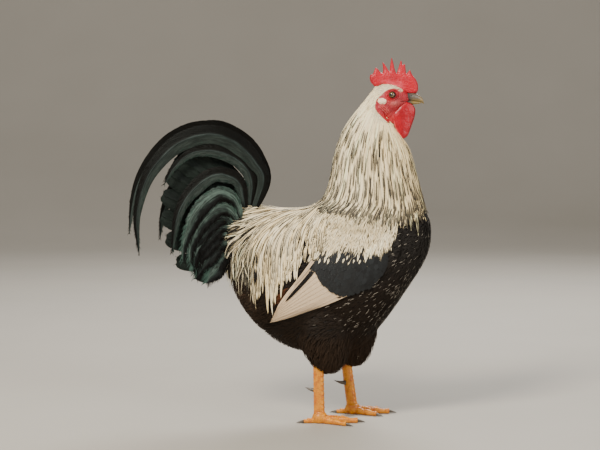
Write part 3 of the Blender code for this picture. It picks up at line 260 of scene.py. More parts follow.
# Tail: tips (x, z) of the main feathers, and the lines of the others
MAIN_TIPS = [
    (-0.14, 0.46),
    (-0.169, 0.442),
    (-0.185, 0.413),
    (-0.193, 0.378),
    (-0.195, 0.342),
    (-0.187, 0.305),
    (-0.17, 0.266),
    (-0.138, 0.245),
]
MAIN_ROOT = ((-0.042, 0.359), (-0.084, 0.262))
MAIN_HALF = 0.0185
SICKLES = {
    RIGHT: [
        [(-0.044, 0.342), (-0.025, 0.4004), (-0.0382, 0.4321), (-0.0618, 0.4577),
         (-0.0897, 0.474), (-0.1173, 0.4785), (-0.145, 0.473), (-0.1726, 0.459),
         (-0.1983, 0.4341), (-0.218, 0.4044), (-0.2299, 0.3689), (-0.235, 0.3332),
         (-0.231, 0.2779)],
        [(-0.054, 0.342), (-0.064, 0.395), (-0.09, 0.411), (-0.1133, 0.4083),
         (-0.1371, 0.3905), (-0.1549, 0.3689), (-0.1668, 0.3431), (-0.1726, 0.3134),
         (-0.1766, 0.2817)],
        [(-0.049, 0.342), (-0.045, 0.4), (-0.06, 0.429), (-0.087, 0.446),
         (-0.117, 0.452), (-0.147, 0.446), (-0.172, 0.425), (-0.19, 0.395)],
    ],
    LEFT: [
        [(-0.044, 0.342), (-0.0235, 0.398), (-0.035, 0.435), (-0.06, 0.464),
         (-0.093, 0.483), (-0.124, 0.4855), (-0.156, 0.479), (-0.185, 0.464),
         (-0.212, 0.438), (-0.233, 0.405), (-0.245, 0.37), (-0.25, 0.34),
         (-0.2531, 0.3095)],
        [(-0.054, 0.342), (-0.072, 0.396), (-0.104, 0.416), (-0.135, 0.416),
         (-0.162, 0.402), (-0.182, 0.378), (-0.196, 0.34), (-0.2013, 0.3006)],
        [(-0.049, 0.342), (-0.043, 0.4), (-0.057, 0.432), (-0.085, 0.45),
         (-0.116, 0.456), (-0.148, 0.45), (-0.174, 0.429), (-0.192, 0.399)],
    ],
}
WEB_TOP = [-1.0, -0.66, -0.33, -0.07, 0.0, 0.07, 0.33, 0.66, 1.0]  # points across a large feather
WEB_UNDER = [0.7, 0.3, 0.0, -0.3, -0.7]
WEB_THICK = 0.0004
MAIN_STEPS, SICKLE_STEPS, COVERT_STEPS = 60, 180, 90
SICKLE_HALVES = (0.016, 0.013, 0.012)
SICKLE_LAYERS = (0.002, 0.0, -0.002)  # their distance outwards from one another
COVERTS = [
    [(-0.062, 0.338), (-0.07, 0.364), (-0.088, 0.379), (-0.112, 0.37),
     (-0.1331, 0.3471), (-0.145, 0.3213), (-0.1529, 0.2977), (-0.1549, 0.27)],
    [(-0.07, 0.322), (-0.081, 0.342), (-0.1, 0.345), (-0.1212, 0.3312),
     (-0.1371, 0.3095), (-0.145, 0.2878), (-0.146, 0.26)],
    [(-0.076, 0.306), (-0.089, 0.317), (-0.105, 0.31), (-0.1212, 0.2936),
     (-0.1351, 0.2739), (-0.143, 0.2482)],
    [(-0.08, 0.29), (-0.094, 0.288), (-0.108, 0.276), (-0.122, 0.259),
     (-0.1331, 0.2403)],
    [(-0.08, 0.272), (-0.092, 0.264), (-0.102, 0.252), (-0.115, 0.235)],
]
COVERT_HALF = 0.0135
COVERT_COUNT = 8
SICKLE_Y = (0.016, 0.02, 0.025, 0.029)  # their distances from the middle, root to tip

CAMERA_AIM = (0.0385, 0.0, 0.3268)
CAMERA_FAR, CAMERA_RISE = 3.0, 4.0  # metres and degrees
FRAME_WIDE = 1.0056  # metres across the picture at the bird
WALL_FAR, WALL_BEND = 3.4, 2.0
LAMP_AIM = (0.0, 0.0, 0.3)
LAMPS = [  # name, place, share of the main light's power, size and colour
    ("key", (-1.4, -2.2, 2.4), 1.0, 0.9, (1.0, 0.94, 0.84)),
    ("fill", (2.2, -2.0, 1.2), 0.26, 1.8, (1.0, 0.98, 0.94)),
    ("rim", (0.6, 2.0, 2.2), 0.5, 1.4, (1.0, 1.0, 1.0)),
]
SKY, SKY_STRENGTH = (1.0, 0.98, 0.95, 1.0), 0.43

SKIN_DEPTH = 0.0038  # how far the skin lies under the feathers' surface

SHIFT = Vector((
    (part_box("eye_right")[0].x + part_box("eye_right")[1].x) / 2 - EYE_X,
    (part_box("eye_right")[0].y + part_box("eye_left")[1].y) / 2,
    0.0,
))


def swatch(name, description, default):
    """A colour that a user can set."""
    return FloatVectorProperty(name=name, description=description, subtype="COLOR", size=3,
                               default=default)


class RoosterSettings(bpy.types.PropertyGroup):
    """Colours and numbers a user would change."""
    cream: swatch("Cream", "Hackle and saddle feathers", (0.93, 0.73, 0.4))
    white: swatch("White", "Palest feathers", (0.97, 0.85, 0.58))
    stripe: swatch("Stripe", "Dark stripe along a feather's shaft", (0.022, 0.018, 0.014))
    black: swatch("Black", "Breast and belly", (0.019, 0.0165, 0.0142))
    bar: swatch("Bar", "Blue-black bar across the wing", (0.0125, 0.0128, 0.013))
    bay: swatch("Bay", "Pale triangle of the folded wing", (0.62, 0.47, 0.31))
    green: swatch("Tail green", "Sheen of the tail coverts", (0.0185, 0.0345, 0.0275))
    charcoal: swatch("Tail charcoal", "Outer webs of the tail feathers", (0.0042, 0.0029, 0.0019))
    comb: swatch("Comb", "Comb and wattles", (0.5, 0.0, 0.014))
    face: swatch("Face", "Bare skin of the face", (0.36, 0.004, 0.014))
    wattle: swatch("Wattle", "The wattles' deep red", (0.4, 0.0, 0.009))
    lobe: swatch("Ear lobe", "White of the ear lobes", (1.0, 0.78, 0.52))
    horn: swatch("Horn", "Bill ridge, claws and spurs", (0.135, 0.105, 0.075))
    bill_edge: swatch("Bill edge", "Edge and tip of the bill", (0.28, 0.18, 0.04))
    iris: swatch("Iris", "Iris of the eyes", (0.25, 0.17, 0.045))
    belly: swatch("Belly", "Brown-black of the belly", (0.0112, 0.0066, 0.0035))
    fluff: swatch("Fluff", "Brown edge of the loose feathers", (0.075, 0.045, 0.028))
    leg: swatch("Leg", "Scales of the legs and toes", (0.8, 0.29, 0.003))
    feather_share: FloatProperty(name="Feather share", description="Share of the small feathers made",
                                 subtype="FACTOR", default=1.0, min=0.05, max=1.0)
    seed: IntProperty(name="Seed", description="Start of every random draw", default=11)
    key_watts: FloatProperty(name="Key light", description="Power of the main light", unit="POWER",
                             default=160.0)


def settings():
    return bpy.context.scene.rooster


# Forms

def read(table, t):
    """The rows of a table at t from 0 to 1, on a smooth curve through its rows."""
    rows = np.asarray(table, float)
    t = np.asarray(t, float)
    place = np.clip(t, 0, 1) * (len(rows) - 1)
    i = np.minimum(place.astype(int), len(rows) - 2)
    f = (place - i)[..., None]
    p1, p2 = rows[i], rows[i + 1]
    p0 = np.where((i > 0)[..., None], rows[np.maximum(i - 1, 0)], 2 * p1 - p2)
    p3 = np.where((i + 2 < len(rows))[..., None], rows[np.minimum(i + 2, len(rows) - 1)], 2 * p2 - p1)
    return 0.5 * (2 * p1 + (p2 - p0) * f + (2 * p0 - 5 * p1 + 4 * p2 - p3) * f ** 2
                  + (3 * p1 - p0 - 3 * p2 + p3) * f ** 3)


def form(table, t, angle, power=2.2, y=0.0, shift=0.0):
    """Points of a lofted form, t along it and an angle round it from its second end."""
    row = read(table, t)
    c, s = np.cos(angle), np.sin(angle)
    along = np.sign(c) * np.abs(c) ** (2 / power) / 2
    across = np.sign(s) * np.abs(s) ** (2 / power)
    x = (row[..., 0] + row[..., 2]) / 2 + (row[..., 2] - row[..., 0]) * along + shift
    z = (row[..., 1] + row[..., 3]) / 2 + (row[..., 3] - row[..., 1]) * along
    return np.stack([x, y + np.maximum(row[..., 4], 0) * across, z], -1)


def new_mesh(name, points, faces):
    """A mesh from an array of points and one of faces with equal numbers of corners."""
    faces = np.asarray(faces, np.int32)
    count, corners = faces.shape
    mesh = bpy.data.meshes.new(name)
    mesh.vertices.add(len(points))
    mesh.vertices.foreach_set("co", np.asarray(points, np.float32).ravel())
    mesh.loops.add(count * corners)
    mesh.loops.foreach_set("vertex_index", faces.ravel())
    mesh.polygons.add(count)
    mesh.polygons.foreach_set("loop_start", np.arange(count, dtype=np.int32) * corners)
    mesh.update(calc_edges=True)
    return mesh


def tube_faces(rows, sides):
    """Faces of closed rings in rows, with four corners each."""
    r, k = np.meshgrid(np.arange(rows - 1), np.arange(sides), indexing="ij")
    nxt = (k + 1) % sides
    return np.stack([r * sides + k, r * sides + nxt, (r + 1) * sides + nxt, (r + 1) * sides + k],
                    -1).reshape(-1, 4)


def capped_faces(rows, sides):
    """Faces of closed rings in rows, with both ends closed, as lists."""
    ring = list(range(sides))
    return tube_faces(rows, sides).tolist() + [ring, [(rows - 1) * sides + k for k in ring]]


def lofted(table, steps, sides, power=2.2, y=0.0, shift=0.0):
    """Points and faces of a closed form through a table's slices, as lists."""
    t, angle = np.meshgrid(np.linspace(0, 1, steps + 1), np.arange(sides) / sides * 2 * math.pi,
                           indexing="ij")
    points = form(table, t, angle, power, y, shift).reshape(-1, 3)
    return points.tolist(), capped_faces(steps + 1, sides)


def joined(forms):
    """Several lists of points and faces as one."""
    points, faces = [], []
    for some, their in forms:
        start = len(points)
        points += some
        faces += [[start + i for i in face] for face in their]
    return points, faces


def closed_mesh(name, points, faces):
    """A mesh of lists of points and faces, with its faces turned outwards and no loose points."""
    mesh = bpy.data.meshes.new(name)
    mesh.from_pydata(points, [], faces)
    work = bmesh.new()
    work.from_mesh(mesh)
    bmesh.ops.delete(work, geom=[v for v in work.verts if not v.link_faces], context="VERTS")
    bmesh.ops.recalc_face_normals(work, faces=work.faces)
    work.to_mesh(mesh)
    work.free()
    return mesh


def linked(name, data):
    """An object in the scene."""
    thing = bpy.data.objects.new(name, data)
    bpy.context.scene.collection.objects.link(thing)
    return thing


def remeshed(name, forms, voxel, smoothing):
    """Forms joined into one closed surface of even faces."""
    thing = linked(name, closed_mesh(name, *joined(forms)))
    remesh = thing.modifiers.new("remesh", "REMESH")
    remesh.mode = "VOXEL"
    remesh.voxel_size = voxel
    smooth = thing.modifiers.new("smooth", "SMOOTH")
    smooth.factor = 0.5
    smooth.iterations = smoothing
    bpy.context.view_layer.update()
    mesh = bpy.data.meshes.new_from_object(thing.evaluated_get(bpy.context.evaluated_depsgraph_get()))
    bpy.data.objects.remove(thing)
    return mesh


def read_array(items, key, width, kind=np.float32):
    """A value of every item of a mesh, as rows."""
    values = np.empty(len(items) * width, kind)
    items.foreach_get(key, values)
    return values.reshape(-1, width)


def mesh_points(mesh):
    """A mesh's points and normals."""
    return (read_array(mesh.vertices, "co", 3).astype(float),
            read_array(mesh.vertices, "normal", 3).astype(float))


def move_points(mesh, points):
    mesh.vertices.foreach_set("co", points.astype(np.float32).ravel())


def show(name, mesh, material, nodes=None, sharp=180.0):
    """A piece of the bird, in place and riding on the frame. It stands for the node of its own
    name, or for those given."""
    thing = linked(name, mesh)
    mesh.transform(((1, 0, 0, SHIFT.x), (0, 1, 0, SHIFT.y), (0, 0, 1, 0), (0, 0, 0, 1)))
    mesh.materials.clear()
    mesh.materials.append(material)
    mesh.shade_smooth()
    if sharp < 180:
        mesh.set_sharp_from_angle(angle=math.radians(sharp))
    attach(thing, "root")
    nodes = (name,) if nodes is None else nodes
    if nodes:
        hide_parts(*nodes)


def ray_tree(points, faces):
    return BVHTree.FromPolygons([Vector(p) for p in points], faces)


def wing_forms(tree):
    """The swell of each folded wing over the torso's side, as closed sheets."""
    long_steps, wide_steps, sunk = 44, 20, 0.004
    sheets = []
    for side, _ in SIDES:
        inner, outer = [], []
        for i in range(long_steps + 1):
            x0, z0, x1, z1, thick = read(WING, i / long_steps)
            for j in range(wide_steps + 1):
                v = j / wide_steps
                start = Vector((x0 + (x1 - x0) * v, side * 0.5, z0 + (z1 - z0) * v))
                spot, normal, _, _ = tree.ray_cast(start, Vector((0, -side, 0)))
                crown = 0.0005 + thick * math.sin(math.pi * v) ** 0.6
                inner.append(list(spot - normal * sunk))
                outer.append(list(spot + normal * crown))
        row, count = wide_steps + 1, len(inner)
        faces = []
        for i in range(long_steps):
            for j in range(wide_steps):
                a, b, c, d = i * row + j, i * row + j + 1, (i + 1) * row + j + 1, (i + 1) * row + j
                faces += [[a, b, c, d], [count + d, count + c, count + b, count + a]]
        rim = list(range(row))
        rim += [i * row + wide_steps for i in range(1, long_steps + 1)]
        rim += [long_steps * row + j for j in range(wide_steps - 1, -1, -1)]
        rim += [i * row for i in range(long_steps - 1, 0, -1)]
        faces += [[a, b, count + b, count + a] for a, b in zip(rim, rim[1:] + rim[:1])]
        sheets.append((inner + outer, faces))
    return sheets


class Guide:
    """The bird's outer form, that feathers are laid on: points, faces, search tree, bake map."""

    def __init__(self, voxel, smoothing):
        torso = lofted(TORSO, 60, 64, 2.25)
        forms = [torso, lofted(NECK + NECK_TUCK, 60, 56, NECK_POWER), lofted(HEAD, 40, 44),
                 lofted(THROAT, 24, 36), lofted(TAIL_ROOT, 24, 40, 2.3)]
        for side, _ in SIDES:
            forms.append(lofted(THIGH, 36, 36, 2.1, side * (LEG_Y - 0.003), THIGH_STEP[side]))
        forms += wing_forms(ray_tree(*torso))
        self.mesh = remeshed("guide", forms, voxel, smoothing)
        self.unwrap()
        self.mesh.calc_loop_triangles()
        self.points, self.normals = mesh_points(self.mesh)
        self.triangles = read_array(self.mesh.loop_triangles, "vertices", 3, np.int32)
        loops = read_array(self.mesh.loop_triangles, "loops", 3, np.int32)
        self.uv = read_array(self.mesh.uv_layers["OFBake"].data, "uv", 2)[loops].mean(1)
        self.tree = BVHTree.FromPolygons(self.points.tolist(), self.triangles.tolist())
        a, b, c = (self.points[self.triangles[:, k]] for k in range(3))
        self.area = np.linalg.norm(np.cross(b - a, c - a), axis=1) / 2

    def unwrap(self):
        """Lays the form's own surface out flat, as the map that every feather bakes to."""
        thing = linked("guide", self.mesh)
        bpy.context.view_layer.objects.active = thing
        thing.select_set(True)
        self.mesh.uv_layers.new(name="OFBake")
        bpy.ops.object.mode_set(mode="EDIT")
        bpy.ops.mesh.select_all(action="SELECT")
        bpy.ops.uv.smart_project(angle_limit=math.radians(66), island_margin=0.003)
        bpy.ops.object.mode_set(mode="OBJECT")
        bpy.data.objects.remove(thing)

    def snap(self, points):
        """The nearest points of the surface, their smooth normals and triangles."""
        flat = points.reshape(-1, 3)
        spots, faces = np.empty_like(flat), np.empty(len(flat), int)
        for i, p in enumerate(flat.tolist()):
            spot, _, face, _ = self.tree.find_nearest(p)
            spots[i], faces[i] = spot, face
        return (spots.reshape(points.shape), self.smooth_normals(spots, faces).reshape(points.shape),
                faces.reshape(points.shape[:-1]))

    def smooth_normals(self, spots, faces):
        """Normals at points of triangles, blended from their corners."""
        corners = self.triangles[faces]
        away = np.linalg.norm(self.points[corners] - spots[:, None], axis=2)
        weight = 1 / (away + 1e-5)
        return unit((self.normals[corners] * weight[..., None]).sum(1))

    def scatter(self, rng, spacing, region, most):
        """Points spread over a region of the surface, no nearer to each other than the spacing
        there, and their triangles. Most is the number of points tried."""
        most = int(most * settings().feather_share)
        chance = self.area / self.area.sum()
        faces = rng.choice(len(chance), size=most, p=chance)
        a, b = rng.random(most), rng.random(most)
        fold = a + b > 1
        a, b = np.where(fold, 1 - a, a), np.where(fold, 1 - b, b)
        corners = self.points[self.triangles[faces]]
        spots = corners[:, 0] + (corners[:, 1] - corners[:, 0]) * a[:, None]
        spots += (corners[:, 2] - corners[:, 0]) * b[:, None]
        keep = region(*spots.T)
        spots, faces = spots[keep], faces[keep]
        gaps = spacing(spots) if callable(spacing) else np.full(len(spots), spacing)
        cell = gaps.max()
        taken, chosen = {}, []
        keys = np.floor(spots / cell).astype(int).tolist()
        for i, (x, y, z) in enumerate(keys):
            p, gap = spots[i], gaps[i] ** 2
            near = [taken.get((x + u, y + v, z + w), ()) for u in (-1, 0, 1) for v in (-1, 0, 1)
                    for w in (-1, 0, 1)]
            if any((p[0] - q[0]) ** 2 + (p[1] - q[1]) ** 2 + (p[2] - q[2]) ** 2 < gap
                   for some in near for q in some):
                continue
            taken.setdefault((x, y, z), []).append((p[0], p[1], p[2]))
            chosen.append(i)
        return spots[chosen], faces[chosen]

    def march(self, spots, flow, lengths, steps, rng, wander=0.06):
        """Paths over the surface from the spots along a flow, and the normals under them."""
        here = spots
        turn = rng.normal(0, wander, len(spots))
        _, normal, _ = self.snap(here)
        paths, normals = [here], [normal]
        for _ in range(steps):
            ahead = flow(here, normal)
            ahead = unit(ahead - normal * dot(ahead, normal))
            ahead = unit(ahead + np.cross(normal, ahead) * turn[:, None])
            here, normal, _ = self.snap(here + ahead * (lengths / steps)[:, None])
            paths.append(here)
            normals.append(normal)
        return np.stack(paths, 1), np.stack(normals, 1)


def unit(v):
    return v / np.maximum(np.linalg.norm(v, axis=-1, keepdims=True), 1e-12)


def dot(a, b):
    return (a * b).sum(-1, keepdims=True)


def inside(outline, x, z):
    """Whether points lie in a closed outline."""
    within = np.zeros(np.shape(x), bool)
    for (x0, z0), (x1, z1) in zip(outline[-1:] + outline[:-1], outline):
        crosses = (z0 > z) != (z1 > z)
        within ^= crosses & (x < x0 + (z - z0) / ((z1 - z0) or 1e-12) * (x1 - x0))
    return within


def edge_distance(outline, x, z):
    """Distance of points to a closed outline."""
    best = np.full(np.shape(x), 1.0)
    for (x0, z0), (x1, z1) in zip(outline[-1:] + outline[:-1], outline):
        dx, dz = x1 - x0, z1 - z0
        t = np.clip(((x - x0) * dx + (z - z0) * dz) / (dx * dx + dz * dz + 1e-18), 0, 1)
        best = np.minimum(best, np.hypot(x - x0 - dx * t, z - z0 - dz * t))
    return best


def ease(low, high, value):
    """0 below low, 1 above high, smooth between."""
    t = np.clip((np.asarray(value, float) - low) / (high - low), 0, 1)
    return t * t * (3 - 2 * t)


# Feathers

def tip_share(t, start):
    """Place between a start and the tip, as 0 to 1."""
    return np.clip((t - start) / (1 - start), 0, 1)


def outline_of(kind, t):
    """A feather's half width from its root to its tip, as a share of its widest."""
    if kind == "lance":
        return np.minimum(1, 0.45 + 2.2 * t) * np.clip(1 - t, 0, 1) ** 0.62
    if kind == "strand":
        return np.minimum(1, 0.45 + 2.2 * t) * np.clip(1 - t, 0, 1) ** 0.46
    if kind == "round":
        return np.minimum(1, 0.5 + 2.0 * t) * np.sqrt(1 - tip_share(t, 0.45) ** 2.4)
    if kind == "sickle":
        return np.minimum(1, 0.3 + 2.6 * t) * np.clip(1 - tip_share(t, 0.5), 0.02, 1) ** 0.8
    square = np.sqrt(np.clip(1 - tip_share(t, 0.72) ** 2, 0.001, 1))
    return square if kind == "vane" else np.minimum(1, 0.3 + 2.6 * t) * square


def blades(name, paths, normals, halves, crown, thick, colours, stripes, roots, draw):
    """Thin closed blades along paths, flat below and ridged above. They carry each feather's colour
    and stripe strength, the place across and along it, and a patch of the bake map at its root."""
    count, steps = paths.shape[:2]
    ahead = unit(np.gradient(paths, axis=1))
    normal = unit(normals - ahead * dot(normals, ahead))
    side = np.cross(ahead, normal) * halves[..., None]
    rise = normal * (crown * halves + thick)[..., None]
    points = np.stack([paths - side, paths + rise, paths + side], 2).reshape(-1, 3)
    body = tube_faces(steps, 3)
    body = np.concatenate([body[:, [0, 1, 2]], body[:, [0, 2, 3]]])
    last = (steps - 1) * 3
    one = np.concatenate([body, [[2, 1, 0], [last, last + 1, last + 2]]])
    faces = (one[None] + (np.arange(count) * steps * 3)[:, None, None]).reshape(-1, 3)
    mesh = new_mesh(name, points, faces)
    u = np.tile(np.array([0.0, 0.5, 1.0]), count * steps)
    v = np.tile(np.repeat(np.linspace(0, 1, steps), 3), count)
    plume = np.ones((count, steps, 3, 4), np.float32)
    plume[..., :3] = colours[:, None, None]
    plume[..., 3] = np.asarray(stripes)[:, None, None]
    mark_feathers(mesh, faces, u, v, roots, plume.reshape(-1, 4), draw)
    return mesh


def mark_feathers(mesh, faces, u, v, roots, plume, draw):
    """What a mesh of many feathers carries for its material and for the bake."""
    each = len(u) // len(roots)
    place = np.stack([u, v], 1)
    corner = faces.ravel()
    lay_map(mesh, "vane", place[corner])
    patch = np.repeat(roots, each, axis=0) + (place - 0.5) * BAKE_PATCH
    lay_map(mesh, "OFBake", patch[corner])
    paint_points(mesh, "plume", plume)
    layer = mesh.attributes.new("draw", "FLOAT", "POINT")
    layer.data.foreach_set("value", np.repeat(draw, each).astype(np.float32))


def lay_map(mesh, name, uv):
    layer = mesh.uv_layers.new(name=name, do_init=False)
    layer.data.foreach_set("uv", np.asarray(uv, np.float32).ravel())


def paint_points(mesh, name, colours):
    layer = mesh.color_attributes.new(name, "FLOAT_COLOR", "POINT")
    layer.data.foreach_set("color", np.asarray(colours, np.float32).ravel())


def coat(name, roots, flow, lengths, halves, kind, colours, stripes, rng, material, steps=6,
         root=-0.0018, tip=0.0012, crown=0.25, thick=0.0002, nodes=(), wander=0.06, curl=0.0, laid=FINE):
    """A piece of plumage: feathers that grow from roots on the fine form and lie along a flow,
    on the fine form or, where they are long, on the calm one."""
    spots, faces = roots
    paths, normals = GUIDES[laid].march(spots, flow, lengths, steps, rng, wander)
    t = np.linspace(0, 1, steps + 1)
    lift = rng.normal(0, 0.00025, len(spots))[:, None]
    heights = root + (tip - root) * t ** 0.7 + lift * t + curl * t ** 4
    widths = halves[:, None] * np.maximum(outline_of(kind, t), 0.03)
    mesh = blades(name, paths + normals * heights[..., None], normals, widths, crown, thick, colours,
                  stripes, GUIDES[FINE].uv[faces], rng.random(len(spots)))
    show(name, mesh, material, nodes, RIDGE)


def direction(p, x, y, z):
    """A direction at each point."""
    return np.stack(np.broadcast_arrays(x, y, z, p[:, 0])[:3], 1).astype(float)


def varied(rng, colour, count, spread=0.1):
    """A colour for each feather, near the given one."""
    shade = 1 + rng.normal(0, spread, (count, 1))
    return np.clip(np.asarray(colour)[None] * shade, 0, 1)


def blend(a, b, share):
    """Colours between two, by a share for each."""
    share = np.asarray(share)[:, None]
    return np.asarray(a) * (1 - share) + np.asarray(b) * share


# Node tools

def add(tree, kind, links=None, **values):
    """A node with its settings, its inputs' values and what is linked to them."""
    node = tree.nodes.new(kind)
    for key, value in values.items():
        setattr(node, key, value)
    for key, value in (links or {}).items():
        if isinstance(value, bpy.types.NodeSocket):
            tree.links.new(value, node.inputs[key])
        else:
            node.inputs[key].default_value = value
    return node


def mix(tree, share, a, b, blend_type="MIX"):
    """A colour mixed from two."""
    return add(tree, "ShaderNodeMix", {0: share, 6: a, 7: b}, data_type="RGBA",
               blend_type=blend_type).outputs[2]


def darkened(tree, share, colour, depth):
    """A colour, darkened by a depth where the share says."""
    return mix(tree, share, colour, mix(tree, depth, colour, BLACK))


def maths(tree, operation, a, b=0.0, c=0.5):
    return add(tree, "ShaderNodeMath", {0: a, 1: b, 2: c}, operation=operation).outputs[0]


def times(tree, a, b):
    return maths(tree, "MULTIPLY", a, b)


def span(tree, value, low, high):
    """0 at low and 1 at high, smooth between."""
    return add(tree, "ShaderNodeMapRange", {"Value": value, "From Min": low, "From Max": high},
               interpolation_type="SMOOTHSTEP").outputs[0]


def clouds(tree, at, scale, detail, rough=0.5):
    """Soft noise from 0 to 1."""
    return add(tree, "ShaderNodeTexNoise", {"Vector": at, "Scale": scale, "Detail": detail,
                                            "Roughness": rough}).outputs[0]


def own_place(tree):
    """The place in the piece's own frame."""
    return add(tree, "ShaderNodeTexCoord").outputs["Object"]


def attribute(tree, name):
    return add(tree, "ShaderNodeAttribute", attribute_name=name).outputs


def vane_place(tree):
    """The place across and along a feather."""
    vane = add(tree, "ShaderNodeUVMap", uv_map="vane").outputs[0]
    return add(tree, "ShaderNodeSeparateXYZ", {0: vane}).outputs


def pattern(tree, name, values):
    """The outputs of one of the node groups, for the given inputs."""
    return add(tree, "ShaderNodeGroup", values, node_tree=bpy.data.node_groups[name]).outputs


def rgba(colour, share=1.0):
    return (colour[0] * share, colour[1] * share, colour[2] * share, 1.0)


def group(name, inputs, outputs):
    """An empty node group with named sockets, and its input and output nodes."""
    tree = bpy.data.node_groups.new(name, "ShaderNodeTree")
    for label, kind, default in inputs:
        socket = tree.interface.new_socket(name=label, in_out="INPUT", socket_type=kind)
        socket.default_value = default
    for label, kind in outputs:
        tree.interface.new_socket(name=label, in_out="OUTPUT", socket_type=kind)
    return tree, tree.nodes.new("NodeGroupInput"), tree.nodes.new("NodeGroupOutput")


def vane_group():
    """Where a feather's shaft and edge are, and the fine relief of its barbs."""
    tree, given, result = group(
        "Vane pattern",
        [("Shaft Width", FLOAT, 0.2), ("Start", FLOAT, 0.2), ("End", FLOAT, 0.95),
         ("Scatter", FLOAT, 0.0), ("Barbs", FLOAT, 40.0)],
        [("Shaft", FLOAT), ("Edge", FLOAT), ("Barbs", FLOAT)])
    width, start, end, scatter, fineness = (given.outputs[k] for k in range(5))
    place = vane_place(tree)
    along = place[1]
    own = attribute(tree, "draw")["Fac"]
    across = maths(tree, "ABSOLUTE", maths(tree, "MULTIPLY_ADD", place[0], 2.0, -1.0))
    slant = maths(tree, "MULTIPLY_ADD", across, -0.12, along)
    grid = add(tree, "ShaderNodeCombineXYZ", {0: times(tree, slant, fineness),
                                              1: times(tree, place[0], 2.4), 2: times(tree, own, 37.0)})
    clump = span(tree, clouds(tree, grid.outputs[0], 1.0, 2.0, 0.6), 0.33, 0.67)
    ragged = maths(tree, "ADD", across, times(tree, clump, 0.16))
    narrowing = maths(tree, "POWER", maths(tree, "SUBTRACT", 1.001, along), 0.5)
    off = maths(tree, "ADD", times(tree, across, narrowing), times(tree, clump, 0.1))
    shaft = span(tree, off, maths(tree, "ADD", width, 0.07), width)
    moved = maths(tree, "SUBTRACT", along, times(tree, maths(tree, "SUBTRACT", own, 0.5), scatter))
    begun = span(tree, moved, start, maths(tree, "ADD", start, 0.1))
    ended = span(tree, moved, maths(tree, "ADD", end, 0.05), end)
    tree.links.new(times(tree, shaft, times(tree, begun, ended)), result.inputs["Shaft"])
    tree.links.new(span(tree, ragged, 0.7, 1.1), result.inputs["Edge"])
    tree.links.new(clump, result.inputs["Barbs"])


def skin_group():
    """Fleshy skin: darker blotches, a painted highlight in the pale colour on the tops of the pebbles, and a
    pebbled relief.
    """
    tree, given, result = group(
        "Fleshy skin",
        [("Colour", COLOUR, (0.6, 0.02, 0.03, 1)), ("Pale", COLOUR, (0.8, 0.3, 0.3, 1)),
         ("Grain", FLOAT, 900.0), ("Pale Share", FLOAT, 0.3)],
        [("Colour", COLOUR), ("Relief", FLOAT)])
    colour, pale, grain, highlight_share = (given.outputs[k] for k in range(4))
    at = own_place(tree)
    pebble = add(tree, "ShaderNodeTexVoronoi", {"Vector": at, "Scale": grain},
                 feature="SMOOTH_F1").outputs["Distance"]
    blotches = times(tree, span(tree, clouds(tree, at, 90.0, 3.0), 0.62, 0.3), 0.45)
    shaded = darkened(tree, blotches, colour, 0.55)
    # Painted highlight: the pale colour on the pebbles' raised tops.
    knobs = times(tree, span(tree, pebble, 0.35, 0.1), highlight_share)
    tree.links.new(mix(tree, knobs, shaded, pale), result.inputs["Colour"])
    relief = maths(tree, "ADD", times(tree, span(tree, pebble, 0.6, 0.0), 0.8),
                   times(tree, clouds(tree, at, 1800.0, 2.0), 0.3))
    tree.links.new(relief, result.inputs["Relief"])


def shader_of(name):
    """A new material, its node tree and its shader."""
    material = bpy.data.materials.new(name)
    material.use_nodes = True
    return material, material.node_tree, material.node_tree.nodes["Principled BSDF"]


def finish(tree, shader, base, height, strength, distance, values):
    """Gives a shader its colour, its relief and the values of its other inputs."""
    tree.links.new(base, shader.inputs["Base Color"])
    relief = add(tree, "ShaderNodeBump", {"Height": height, "Strength": strength, "Distance": distance})
    tree.links.new(relief.outputs[0], shader.inputs["Normal"])
    for key, value in values.items():
        shader.inputs[key].default_value = value


def plumage(name, stripe, shaft=0.25, start=0.2, end=0.95, scatter=0.0, barbs=30.0, rough=0.62,
            gloss=0.25, edge=0.3, edge_tint_and_shade=(0.2, 0.14, 0.085), line=0.12):
    """Feathers in their own colours, with a stripe along the shaft and barbs in relief. Each rim is mixed
    towards the edge colour: painted shade between overlapping feathers, and on the breast a browner tint.
    """
    material, tree, shader = shader_of(name)
    own = attribute(tree, "plume")
    marks = pattern(tree, "Vane pattern", {"Shaft Width": shaft, "Start": start, "End": end,
                                           "Scatter": scatter, "Barbs": barbs})
    # Painted shade along each feather's rim where it overlaps its neighbours; on the breast the rim colour is
    # a browner tint.
    base = mix(tree, times(tree, marks["Edge"], edge), own["Color"], rgba(edge_tint_and_shade))
    base = mix(tree, times(tree, marks["Shaft"], own["Alpha"]), base, rgba(stripe))
    base = darkened(tree, times(tree, marks["Barbs"], line), base, 0.5)
    finish(tree, shader, base, marks["Barbs"], 0.2, 0.0003,
           {"Roughness": rough, "Specular IOR Level": gloss})
    return material


def fleshy(name, colour, pale, grain, highlight_share, rough, relief):
    """Comb, wattle and ear lobe, with painted highlights on their pebbles, and paler where the piece's rim
    attribute says.
    """
    material, tree, shader = shader_of(name)
    marks = pattern(tree, "Fleshy skin", {"Colour": rgba(colour), "Pale": rgba(pale), "Grain": grain,
                                          "Pale Share": highlight_share})
    base = mix(tree, attribute(tree, "rim")["Fac"], marks["Colour"], rgba(pale))
    finish(tree, shader, base, marks["Relief"], relief, 0.0006,
           {"Roughness": rough, "Coat Weight": 0.15, "Coat Roughness": 0.35, "Specular IOR Level": 0.35,
            "Subsurface Weight": 0.08, "Subsurface Radius": (0.003, 0.0006, 0.0005)})
    return material


# Skin

